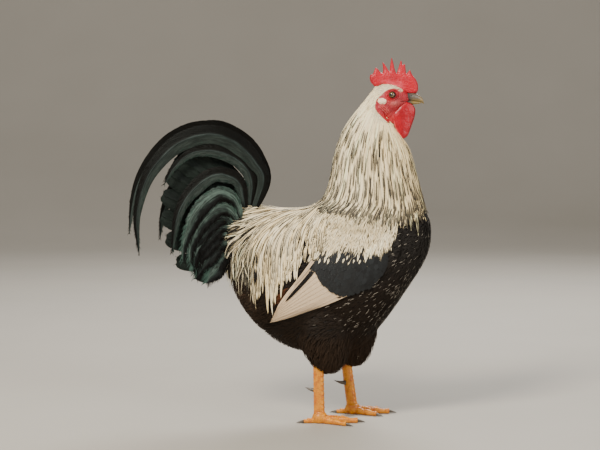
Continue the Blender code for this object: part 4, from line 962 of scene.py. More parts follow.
def skin_colours(p):
    """The colour under the feathers, and how bare the skin is, at points of the skin."""
    look = settings()
    x, z = p[:, 0], p[:, 2]
    bare = np.where(inside(BARE_FACE, x, z), 1.0, 1 - ease(0.0, 0.0015, edge_distance(BARE_FACE, x, z)))
    ridge = ease(0.33, 0.346, z) * (1 - ease(0.03, 0.05, np.abs(p[:, 1]))) * (x < 0.1)
    pale = np.maximum(ease(0.43, 0.5, z), 0.7 * ridge)
    colours = blend(np.array(look.black), np.array(look.cream) * 0.75, pale)
    return colours, bare


def finer(work, where, rounds):
    """Splits the faces of a region."""
    for _ in range(rounds):
        edges = [e for e in work.edges if where((e.verts[0].co + e.verts[1].co) / 2)]
        bmesh.ops.subdivide_edges(work, edges=edges, cuts=1, use_grid_fill=True)


def eye_distance(p):
    """Distance from the eye's middle over the side of the head, drawn out to front and back."""
    return np.hypot((p[:, 0] - EYE_X) / 1.08, p[:, 2] - EYE_Z)


def hump(value, middle, spread):
    return np.exp(-((value - middle) / spread) ** 2)


def flap_share(p):
    """How far points lie in the red flap under the ear lobe, and their place across its folds."""
    x, z = p[:, 0] - FLAP_TOP[0], p[:, 2] - FLAP_TOP[1]
    along = x * 0.66 - z * 0.75
    wave = 0.0006 * np.sin(along * 250 + 1.0)
    across = x * 0.75 + z * 0.66 + wave
    share = ease(-0.001, 0.004, along) * (1 - ease(0.023, 0.03, along))
    share = share * ease(-0.0052, -0.003, across) * (1 - ease(0.0042, 0.0062, across))
    return share * ease(0.004, 0.008, np.abs(p[:, 1])), across


def face_relief(p, n, bare):
    """How far each point of the skin is moved for lids, socket, folds and warts."""
    x, y, z = p.T
    r = eye_distance(p)
    beside = ease(0.004, 0.008, np.abs(y))
    lid = 0.0019 * hump(r, 0.0058, 0.0008) + 0.0008 * hump(r, 0.0088, 0.0009)
    lid -= 0.0006 * hump(r, 0.0073, 0.0006) + 0.0005 * hump(r, 0.0105, 0.0007)
    pit = -0.0042 * (1 - ease(0.004, 0.0054, r))
    brow = 0.0014 * hump(z, EYE_Z + 0.008, 0.0016) * hump(x, EYE_X + 0.002, 0.009)
    cheek = 0.0012 * hump(z, 0.53, 0.004) * hump(x, 0.195, 0.008)
    gape = -0.001 * hump(z, 0.533, 0.0008) * ease(0.2, 0.206, x)
    out = (lid + pit + brow + cheek + gape) * beside
    share, across = flap_share(p)
    out += share * (0.0014 + 0.0005 * np.cos(across * 2 * math.pi / FOLD_WIDE))
    uneven, folds = np.zeros(len(p)), np.zeros(len(p))
    for i in np.nonzero(bare > 0.2)[0]:
        at = Vector(p[i])
        uneven[i] = noise.voronoi(at * 560)[0][0] - 0.5
        folds[i] = noise.noise(at * 330) + 0.6 * noise.noise(at * 700)
    calm = ease(0.005, 0.0066, r) * bare
    out += calm * (-0.0007 * uneven + 0.0006 * folds)
    aside = np.zeros_like(p)
    aside[:, 1] = np.sign(y) * out
    flat = beside[:, None]
    return n * out[:, None] * (1 - flat) + aside * flat


def skin_material():
    """The bare face with its dark rim, its painted highlights, its deep red that is mostly painted shade, and
    the colours under the feathers.
    """
    material, tree, shader = shader_of("skin")
    under = attribute(tree, "plume")
    shades = add(tree, "ShaderNodeSeparateColor", {0: attribute(tree, "rim")["Color"]}).outputs
    marks = pattern(tree, "Fleshy skin", {"Colour": rgba(settings().face), "Pale": (0.72, 0.22, 0.2, 1),
                                          "Grain": 700.0, "Pale Share": 0.12})
    # Painted highlights on the folds, the cheek and the brow.
    base = mix(tree, shades[1], marks["Colour"], (0.74, 0.27, 0.23, 1.0))
    # The dark rim round the eye, and painted shade in the gape.
    base = mix(tree, shades[0], base, (0.035, 0.01, 0.008, 1.0))
    # Deep red, mostly painted shade in the folds' troughs and under the jaw.
    base = mix(tree, shades[2], base, (0.45, 0.008, 0.012, 1.0))
    base = mix(tree, under["Alpha"], under["Color"], base)
    finish(tree, shader, base, marks["Relief"], 0.5, 0.0005,
           {"Roughness": 0.45, "Coat Weight": 0.0, "Subsurface Weight": 0.1,
            "Subsurface Radius": (0.003, 0.0008, 0.0006)})
    return material


def face_shades(p):
    """Shares of dark rim, painted highlight and deep red at points of the face: the dark also paints shade in
    the gape's crease, the highlight lies on the flap's fold ridges, the cheek and the brow, and the deep red
    paints shade in the fold troughs and under the jaw and rings the eye's rear.
    """
    x, y, z = p.T
    r = eye_distance(p)
    beside = np.abs(y) > 0.006
    dark = hump(r, 0.005, 0.0008) * beside
    # Painted shade in the crease of the gape.
    dark = np.maximum(dark, 0.6 * hump(z, 0.533, 0.0007) * ease(0.204, 0.208, x) * beside)
    share, across = flap_share(p)
    ridge = 0.5 + 0.5 * np.cos(across * 2 * math.pi / FOLD_WIDE)
    # Painted highlights: on the ridges of the flap's folds, then on the cheek and the brow.
    pale = share * ridge ** 2 * 0.42
    pale = np.maximum(pale, 0.32 * hump(z, 0.53, 0.0045) * hump(x, 0.193, 0.009) * beside)
    pale = np.maximum(pale, 0.35 * hump(z, 0.5545, 0.0016) * hump(x, 0.2, 0.008) * beside)
    # Painted shade in the troughs of the flap's folds.
    deep = share * (1 - ridge) * 0.9
    # Painted shadow under the jaw, between the head and the neck.
    deep = np.maximum(deep, 1 - ease(0.506, 0.52, z))
    deep = np.maximum(deep, 0.7 * hump(r, 0.0095, 0.0025) * (x < EYE_X - 0.002) * beside)
    return np.stack([dark, pale, deep, np.ones(len(p))], 1)


class ROOSTER_OT_skin(bpy.types.Operator):
    """Builds the body's skin, with the folds and lids of the face"""
    bl_idname = "rooster.skin"
    bl_label = "Skin"

    def execute(self, context):
        mesh = GUIDES[FINE].mesh.copy()
        work = bmesh.new()
        work.from_mesh(mesh)
        finer(work, lambda p: p.x > FACE_X and p.z > FACE_Z, 2)
        finer(work, lambda p: math.hypot(p.x - EYE_X, p.z - EYE_Z) < EYE_AREA and abs(p.y) > 0.006, 1)
        work.to_mesh(mesh)
        work.free()
        p, n = mesh_points(mesh)
        colours, bare = skin_colours(p)
        sunk = SKIN_DEPTH * (1 - 0.55 * ease(0.47, 0.53, p[:, 2])) * (1 - bare)
        shades = face_shades(p)
        move_points(mesh, p - n * sunk[:, None] + face_relief(p, n, bare))
        mesh.update()
        paint_points(mesh, "plume", np.concatenate([colours, bare[:, None]], 1))
        paint_points(mesh, "rim", shades)
        show("skin", mesh, skin_material(),
             ("head", "neck", "torso", "thigh_left", "thigh_right"))
        return {"FINISHED"}


# Head

def smooth_outline(points, spacing):
    """A closed curve through points, at even spacing."""
    table = list(points) + [points[0]]
    fine = read(table, np.linspace(0, 1, len(points) * 24 + 1))
    run = run_of(fine)
    return at_run(fine, run, np.linspace(0, run[-1], int(run[-1] / spacing), endpoint=False))


def run_of(curve):
    """How far along a curve each of its points lies."""
    return np.concatenate([[0], np.cumsum(np.linalg.norm(np.diff(curve, axis=0), axis=1))])


def at_run(curve, run, wanted):
    """The points of a curve at the wanted distances along it."""
    return np.stack([np.interp(wanted, run, column) for column in curve.T], 1)


def plate(name, outline, spacing, thickness, relief, y=0.0, bend=lambda x, z: 0.0):
    """A closed form with a given outline seen from the side. It is as thick as thickness says at
    a distance from the outline, with relief on both faces."""
    rim = smooth_outline(outline, spacing)
    low, high = rim.min(0), rim.max(0)
    xs, zs = np.meshgrid(np.arange(low[0], high[0], spacing), np.arange(low[1], high[1], spacing))
    xs = (xs + (np.arange(len(xs)) % 2)[:, None] * spacing / 2).ravel()
    zs = zs.ravel()
    rim = rim.tolist()
    within = inside(rim, xs, zs) & (edge_distance(rim, xs, zs) > spacing * 0.55)
    flat = [Vector(p) for p in rim] + [Vector(p) for p in zip(xs[within], zs[within])]
    spots, _, faces, _, _, _ = delaunay_2d_cdt(flat, [], [list(range(len(rim)))], 1, 1e-7, False)
    x, z = (np.array([s[k] for s in spots]) for k in (0, 1))
    middles = np.array([(x[list(f)].mean(), z[list(f)].mean()) for f in faces])
    kept = inside(rim, middles[:, 0], middles[:, 1])
    near = [list(f) for f, keep in zip(faces, kept) if keep]
    away = edge_distance(rim, x, z)
    on_rim = away < 1e-6
    points = []
    for side, _ in SIDES:
        bumps = np.array([relief(Vector((a, side * 0.01, b))) for a, b in zip(x, z)])
        half = np.where(on_rim, 0.0, thickness(away, x, z) + bumps * np.minimum(1, away / 0.0015))
        points += np.stack([x, y + bend(x, z) + side * half, z], 1).tolist()
    twin = np.where(on_rim, np.arange(len(x)), np.arange(len(x)) + len(x)).tolist()
    return closed_mesh(name, points, near + [[twin[i] for i in reversed(f)] for f in near])


def rounded(away, deep, reach):
    """Thickness that rounds off over a distance from the edge."""
    return deep * np.sqrt(1 - (1 - np.minimum(away / reach, 1)) ** 2)


class ROOSTER_OT_comb(bpy.types.Operator):
    """Builds the pointed comb and the two wattles"""
    bl_idname = "rooster.comb"
    bl_label = "Comb and wattles"

    def execute(self, context):
        self.comb()
        skin = fleshy("wattle", settings().wattle, (0.8, 0.14, 0.14), 900.0, 0.03, 0.34, 0.1)
        for side, word in SIDES:
            self.wattle(f"wattle_{word}", side, WATTLE_STEP if side == LEFT else 0.0, skin)
        return {"FINISHED"}

    def comb(self):
        skin = fleshy("comb", settings().comb, (0.76, 0.09, 0.12), 620.0, 0.08, 0.42, 0.55)

        def half(away, x, z):
            return rounded(away, 0.005 - 0.0024 * ease(0.568, 0.592, z), 0.0052)

        def knobs(p):
            bead = hump(p.z, 0.55, 0.0035) * ease(0.205, 0.214, p.x)
            return (0.00045 * noise.noise(p * 420) + 0.0003 * noise.noise(p * 900)
                    + (0.0003 + 0.0012 * bead) * (0.45 - noise.voronoi(p * 480)[0][0]))

        mesh = plate("comb", COMB_OUTLINE, 0.0007, half, knobs,
                     bend=lambda x, z: 0.0012 * np.sin(x * 190) * ease(0.565, 0.6, z))
        p, _ = mesh_points(mesh)
        patchy = np.array([noise.noise(Vector(q) * 260) for q in p])
        low = 1 - ease(0.56, 0.574, p[:, 2] + 0.006 * patchy)
        self.paint_rim(mesh, 0.55 * low * ease(0.165, 0.172, p[:, 0]) * (1 - ease(0.2, 0.214, p[:, 0])))
        show("comb", mesh, skin)

    def wattle(self, name, side, step, skin):
        def ripples(p):
            return 0.0005 * noise.noise(p * 120) + 0.0002 * noise.noise(p * 300)

        mesh = plate(name, [(x + step, z) for x, z in WATTLE_OUTLINE], 0.0008,
                     lambda away, x, z: rounded(away, 0.0026, 0.0085), ripples, side * 0.0072,
                     bend=lambda x, z: side * 0.0016 * np.sin((x - 0.19) * 130))
        p, _ = mesh_points(mesh)
        self.paint_rim(mesh, 0.75 * hump(edge_distance(WATTLE_REAR, p[:, 0] - step, p[:, 2]), 0.0008, 0.0007))
        show(name, mesh, skin)

    def paint_rim(self, mesh, share):
        paint_points(mesh, "rim", np.stack([share, share, share, np.ones(len(share))], 1))


def bill_material():
    """Horn with fine streaks, in the colours of the bill's points."""
    material, tree, shader = shader_of("bill")
    streak = clouds(tree, own_place(tree), 700.0, 2.0)
    base = mix(tree, times(tree, streak, 0.5), attribute(tree, "plume")["Color"],
               rgba(settings().horn, 0.35))
    finish(tree, shader, base, streak, 0.15, 0.0003,
           {"Roughness": 0.32, "Coat Weight": 0.25, "Coat Roughness": 0.2})
    return material


class ROOSTER_OT_bill(bpy.types.Operator):
    """Builds the two halves of the bill, with the nostrils"""
    bl_idname = "rooster.bill"
    bl_label = "Bill"

    def execute(self, context):
        look = settings()
        material = bill_material()
        for name, table in (("bill_upper", BILL_UPPER), ("bill_lower", BILL_LOWER)):
            mesh = closed_mesh(name, *lofted(table, 60, 40, 2.1))
            p, n = mesh_points(mesh)
            pit = np.hypot((p[:, 0] - NOSTRIL_X) / 1.9, p[:, 2] - NOSTRIL_Z)
            sunk = 0.0013 * (1 - ease(0.0006, 0.0013, pit)) * (name == "bill_upper")
            rim = 0.0005 * hump(pit, 0.0017, 0.0006) * (p[:, 2] > NOSTRIL_Z)
            p += n * (rim - sunk)[:, None]
            move_points(mesh, p)
            x, _, z = p.T
            yellow = np.maximum((1 - ease(0.5345, 0.5395, z)) * ease(0.215, 0.226, x),
                                0.8 * ease(0.23, 0.24, x))
            # Dark in the nostril pits, painted shade in the recess, and darker at the bill's base.
            dark = np.maximum(1 - ease(0.0005, 0.0014, pit), 0.9 * (1 - ease(0.216, 0.225, x)))
            # Painted shade along the mouth line, where the two halves meet.
            mouth_shade = hump(z, 0.5343 - 0.12 * np.maximum(x - 0.226, 0), 0.0005)
            colours = blend(look.horn, look.bill_edge, yellow)
            colours = blend(colours, (0.03, 0.028, 0.03), np.maximum(dark, 0.8 * mouth_shade))
            paint_points(mesh, "plume", np.concatenate([colours, np.ones((len(p), 1))], 1))
            show(name, mesh, material)
        return {"FINISHED"}


class ROOSTER_OT_eyes(bpy.types.Operator):
    """Builds the eyes and the ear lobes"""
    bl_idname = "rooster.eyes"
    bl_label = "Eyes and ear lobes"

    def execute(self, context):
        lobe_skin = fleshy("lobe", settings().lobe, (1.0, 0.74, 0.62), 800.0, 0.25, 0.5, 0.5)
        for side, word in SIDES:
            low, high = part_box(f"eye_{word}")
            outer = low.y if side == RIGHT else high.y
            centre = Vector((EYE_X, outer - side * EYE_RADIUS - SHIFT.y, EYE_Z))
            mesh = ellipsoid(f"eye_{word}", centre, (EYE_RADIUS,) * 3, 64, 40)
            show(f"eye_{word}", mesh, eye_material(centre + SHIFT, side, word))
            low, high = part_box(f"ear_lobe_{word}")
            y = (low.y + high.y) / 2 - SHIFT.y - side * 0.001
            mesh = ellipsoid(f"ear_lobe_{word}", (LOBE_X, y, LOBE_Z), LOBE_SIZE, 56, 36)
            p, n = mesh_points(mesh)
            bumps = np.array([noise.noise(Vector(q) * 330) + 0.5 * noise.noise(Vector(q) * 800) for q in p])
            move_points(mesh, p + n * (0.0008 * bumps)[:, None])
            show(f"ear_lobe_{word}", mesh, lobe_skin)
        return {"FINISHED"}


def ellipsoid(name, centre, radii, segments, rings):
    mesh = bpy.data.meshes.new(name)
    work = bmesh.new()
    bmesh.ops.create_uvsphere(work, u_segments=segments, v_segments=rings, radius=1.0)
    bmesh.ops.scale(work, vec=radii, verts=work.verts)
    bmesh.ops.translate(work, vec=centre, verts=work.verts)
    work.to_mesh(mesh)
    work.free()
    return mesh


def eye_material(centre, side, word):
    """A wet eye: black pupil, amber iris with a dark outer ring, dark beyond it."""
    look = settings()
    material, tree, shader = shader_of(f"eye_{word}")
    at = own_place(tree)
    gaze = Vector((centre.x + 0.0006, centre.y + side * EYE_RADIUS, centre.z))
    away = add(tree, "ShaderNodeVectorMath", {0: at, 1: gaze}, operation="DISTANCE").outputs["Value"]
    base = mix(tree, clouds(tree, at, 2400.0, 2.0), rgba(look.iris), rgba(look.iris, 0.45))
    base = mix(tree, span(tree, away, 0.0038, 0.005), base, (0.02, 0.012, 0.006, 1.0))
    base = mix(tree, span(tree, away, 0.0029, 0.0026), base, (0.002, 0.002, 0.002, 1.0))
    tree.links.new(base, shader.inputs["Base Color"])
    for key, value in (("Roughness", 0.06), ("Coat Weight", 1.0), ("Coat Roughness", 0.02)):
        shader.inputs[key].default_value = value
    return material


# Neck

def neck_roots(rng, first, last, gap, spacing):
    """Roots down the neck in rows, as places along it and angles round it."""
    places, angles = [], []
    t = first
    while t < last:
        ring = form(NECK, np.full(40, t), np.linspace(0, 2 * math.pi, 40), NECK_POWER)
        round_it = np.linalg.norm(np.diff(ring, axis=0), axis=1).sum()
        count = max(6, int(round_it / spacing(t) * settings().feather_share))
        base = (np.arange(count) + rng.random()) / count
        angles.append((base + rng.normal(0, 0.22, count) / count) * 2 * math.pi)
        places.append(t + rng.normal(0, 0.3 * gap(t), count))
        t += gap(t)
    return np.concatenate(places), np.concatenate(angles)


def neck_feathers(name, rng, feathers, stripes, material, steps, root, tip):
    """Feathers that run down the neck along lines of constant angle."""
    places, angles, lengths, halves = feathers
    t = np.linspace(0, 1, steps + 1)
    colours = neck_colours(rng, places, angles)
    reach = places[:, None] + (lengths / NECK_LONG)[:, None] * t
    turn = angles[:, None] + rng.normal(0, 0.025, len(angles))[:, None] * t
    raw = form(NECK, np.clip(reach, 0, 1.0), turn, NECK_POWER)
    spots, normals, faces = GUIDES[FINE].snap(raw)
    normals[:, 1:-1] = unit(normals[:, :-2] + normals[:, 1:-1] + normals[:, 2:])
    lift = rng.normal(0, 0.00045, len(places))[:, None]
    heights = root + (tip - root) * t ** 0.6 + lift * t
    widths = halves[:, None] * np.maximum(outline_of("strand", t), 0.03)
    mesh = blades(name, spots + normals * heights[..., None], normals, widths, 0.3, 0.0002, colours,
                  stripes, GUIDES[FINE].uv[faces[:, 0]], rng.random(len(places)))
    show(name, mesh, material, (), RIDGE)


def clear_of_face(places, angles, lengths, halves):
    """The neck's feathers that leave the bare face free."""
    clear = np.ones(len(places), bool)
    for share in (0.0, 0.25, 0.5):
        p = form(NECK, np.clip(places + lengths / NECK_LONG * share, 0, 1), angles, NECK_POWER)
        clear &= ~inside(BARE_FACE, p[:, 0], p[:, 2])
    return [values[clear] for values in (places, angles, lengths, halves)]


def neck_colours(rng, places, angles):
    """Cream to the front, whiter to the back and low on the neck; the whiter back is partly painted light on
    the neck's lit back edge.
    """
    look = settings()
    # Whiter to the back: partly painted light, where the neck's back edge faces the light.
    share = np.clip(0.3 - 0.45 * np.cos(angles) + 0.35 * ease(0.5, 0.9, places)
                    + rng.normal(0, 0.12, len(places)), 0, 1)
    shade = 1 + rng.normal(0, 0.09, (len(places), 1))
    return np.clip(blend(look.cream, look.white, share) * shade, 0, 0.97)


class ROOSTER_OT_hackle(bpy.types.Operator):
    """Lays the neck's feathers, short behind the face and long over the shoulders"""
    bl_idname = "rooster.hackle"
    bl_label = "Hackle"

    def execute(self, context):
        rng = np.random.default_rng(settings().seed)
        material = plumage("hackle_upper", settings().stripe, shaft=0.13, start=0.4, end=0.85,
                           scatter=0.3, barbs=46.0, edge=0.5, edge_tint_and_shade=STRAND_GAP_SHADE)
        self.upper(rng, material)
        self.lower(rng)
        self.crown(rng, material)
        return {"FINISHED"}

    def upper(self, rng, material):
        places, angles = neck_roots(rng, 0.0, 0.3, lambda t: 0.0085 + 0.026 * t,
                                    lambda t: 0.0017 + 0.0062 * t)
        lengths = 0.01 + 0.11 * places * rng.uniform(0.85, 1.15, len(places))
        halves = (0.0011 + 0.004 * places) * rng.uniform(0.85, 1.15, len(places))
        feathers = clear_of_face(places, angles, lengths, halves)
        places, angles = feathers[:2]
        chance = 0.5 * ease(0.17, 0.28, places) * (1 - 0.6 * np.cos(angles))
        stripes = 0.65 * (rng.random(len(places)) < chance)
        neck_feathers("hackle_upper", rng, feathers, stripes, material, 6, -0.0012, 0.0004)

    def lower(self, rng):
        """The cape's long feathers, which end unevenly along its edge."""
        material = plumage("hackle_lower", settings().stripe, shaft=0.33, start=0.52, end=0.93,
                           scatter=0.12, barbs=40.0, edge=0.85, edge_tint_and_shade=STRAND_GAP_SHADE)
        places, angles = neck_roots(rng, 0.22, 0.86, lambda t: 0.036 + 0.038 * t,
                                    lambda t: 0.0036 + 0.0026 * t)
        full = 0.045 + 0.045 * ease(0.24, 0.6, places)
        ends = np.interp(np.cos(angles), *zip(*HACKLE_ENDS))
        uneven = rng.normal(0, 1, len(places)) * (0.024 + 0.022 * ease(0.2, 0.8, np.cos(angles)))
        room = (ends + uneven - places) * NECK_LONG
        enough = room > 0.022
        places, angles, full, room = places[enough], angles[enough], full[enough], room[enough]
        lengths = np.minimum(full * rng.uniform(0.8, 1.1, len(places)), room)
        halves = (0.0026 + 0.0012 * ease(0.24, 0.7, places)) * rng.uniform(0.8, 1.15, len(places))
        feathers = clear_of_face(places, angles, lengths, halves)
        places, angles = feathers[:2]
        chance = 0.35 + 0.8 * ease(0.2, 0.42, places)
        chance -= 0.2 * np.cos(angles) * (1 - ease(0.4, 0.6, places))
        striped = rng.random(len(places)) < chance
        stripes = np.where(striped, rng.uniform(0.88, 1.0, len(places)), 0.0)
        neck_feathers("hackle_lower", rng, feathers, stripes, material, 10, -0.002, 0.0022)

    def crown(self, rng, material):
        """The small feathers of the crown, between the comb and the bare face."""
        def region(x, y, z):
            return (x > 0.158) & (x < 0.2085) & (z > 0.5) & ~inside(BARE_FACE, x, z)

        roots = GUIDES[FINE].scatter(rng, 0.00072, region, 500000)
        count = len(roots[0])
        colours = varied(rng, settings().white, count, 0.05)
        coat("crown_feathers", roots, lambda p, n: direction(p, -1.0, 0.0, -0.45),
             rng.uniform(0.004, 0.007, count), rng.uniform(0.00032, 0.0005, count), "lance", colours,
             np.zeros(count), rng, material, steps=4, root=-0.0006, tip=0.0002,
             crown=0.12, thick=0.00006)


# Body

def body_flow(p, n):
    """The lie of the breast, belly and thigh feathers: back and down."""
    thigh = 1 - ease(0.125, 0.165, p[:, 2])
    rear = 1 - ease(-0.06, 0.0, p[:, 0])
    return direction(p, -1.0 + 0.75 * thigh, 0.0, -0.42 - 0.8 * thigh - 0.3 * rear)


def fleck_chance(p):
    """How often a breast feather has a white fleck: most down the front of the breast."""
    x, _, z = p.T
    low = (1 - ease(0.235, 0.26, z)) * ease(0.095, 0.13, x) * ease(0.145, 0.18, z)
    return 0.01 + 0.16 * low + 0.06 * ease(0.18, 0.205, x) * (1 - ease(0.34, 0.36, z))


def body_colours(rng, p):
    """Blue-black on the upper breast, brown-black below, browner still on the fluff."""
    look = settings()
    x, _, z = p.T
    rear = (1 - ease(-0.06, -0.01, x)) * (1 - ease(0.22, 0.27, z))
    thigh = (1 - ease(0.125, 0.165, z)) * ease(0.0, 0.04, x)
    colours = blend(look.black, look.belly, 1 - ease(0.2, 0.31, z))
    colours = blend(colours, look.fluff, 0.6 * rear * rng.random(len(p)))
    colours = blend(colours, look.fluff, 0.22 * thigh)
    colours = blend(colours, (0.085, 0.028, 0.01), 0.9 * inside(RUST, x, z))
    return colours * (1 + rng.normal(0, 0.12, (len(p), 1)))


class ROOSTER_OT_body_feathers(bpy.types.Operator):
    """Lays the black feathers of breast, belly, rump and thighs"""
    bl_idname = "rooster.body_feathers"
    bl_label = "Body feathers"

    def execute(self, context):
        look = settings()
        rng = np.random.default_rng(look.seed + 1)
        material = plumage("breast", (0.74, 0.66, 0.54), shaft=0.13, start=0.34, end=0.92, scatter=0.2,
                           barbs=14.0, rough=0.6, gloss=0.12, edge=0.25, edge_tint_and_shade=(0.024, 0.017, 0.012))
        spots, faces = GUIDES[FINE].scatter(rng, lambda p: 0.0025 + 0.0006 * ease(0.12, 0.06, p[:, 0]),
                                            self.region, 320000)
        x, y, z = spots.T
        for zone, there in (("breast", x > 0.095), ("belly", x <= 0.095)):
            for side, word in SIDES:
                part = there & ((y < 0) == (side == RIGHT))
                some = spots[part]
                count = len(some)
                soft = 1 - ease(0.13, 0.19, some[:, 2])
                lengths = (0.0125 + 0.004 * soft) * rng.uniform(0.8, 1.2, count)
                halves = (0.0021 - 0.0006 * soft) * rng.uniform(0.8, 1.2, count)
                flecked = fleck_chance(some) > rng.random(count)
                stripes = np.where(flecked, rng.uniform(0.3, 1.0, count), 0.0)
                coat(f"{zone}_feathers_{word}", (some, faces[part]), body_flow, lengths, halves, "lance",
                     body_colours(rng, some), stripes, rng, material, steps=5,
                     root=-0.0022, tip=0.0006, crown=0.12, thick=0.0001, curl=0.0004, wander=0.16)
        self.fluff(rng)
        return {"FINISHED"}

    def region(self, x, y, z):
        """The body outside the wings, the cape and the saddle."""
        wing = inside(BOW, x, z) | inside(BAR, x, z) | inside(BAY, x, z)
        wing |= (edge_distance(BOW, x, z) < 0.007) & (x > 0.175)
        cape = z > np.interp(x, *zip(*CAPE_EDGE))
        hidden = saddle_room(x) + np.interp(x, [-0.07, -0.04, -0.01], [0.046, 0.044, 0.042])
        saddle = (x > -0.07) & (x < 0.05) & (z > hidden)
        return ~(wing & (np.abs(y) > WING_Y)) & ~cape & ~saddle

    def fluff(self, rng):
        """Loose feathers of the thighs and under the tail."""
        look = settings()
        material = plumage("fluff", np.array(look.fluff) * 0.5, shaft=0.5, start=0.3, end=1.0,
                           barbs=10.0, rough=0.7, gloss=0.1, edge=0.0)

        def region(x, y, z):
            rear = (x < -0.005) & (z < np.minimum(saddle_room(x) + 0.01, 0.25))
            return ((z < 0.15) & (x > 0.0)) | rear

        roots = GUIDES[FINE].scatter(rng, 0.003, region, 60000)
        count = len(roots[0])
        coat("fluff", roots, body_flow, rng.uniform(0.014, 0.024, count),
             rng.uniform(0.0009, 0.0017, count), "lance", body_colours(rng, roots[0]),
             rng.uniform(0.0, 0.5, count), rng, material, steps=5, tip=0.0026,
             curl=0.0012, wander=0.3)


# Wings

def bow_flow(p, n):
    """The lie of the wing bow's feathers: down, and back behind the shoulder."""
    return direction(p, -0.45 + 0.25 * ease(0.08, 0.15, p[:, 0]), 0.0, -1.0)


def on_wing(outline, low=-1.0, high=1.0):
    """A region of the wings: within an outline, and between two distances from the bow's edge."""
    def region(x, y, z):
        edge = edge_distance(BOW_EDGE, x, z)
        return inside(outline, x, z) & (np.abs(y) > WING_Y) & (edge > low) & (edge < high)

    return region


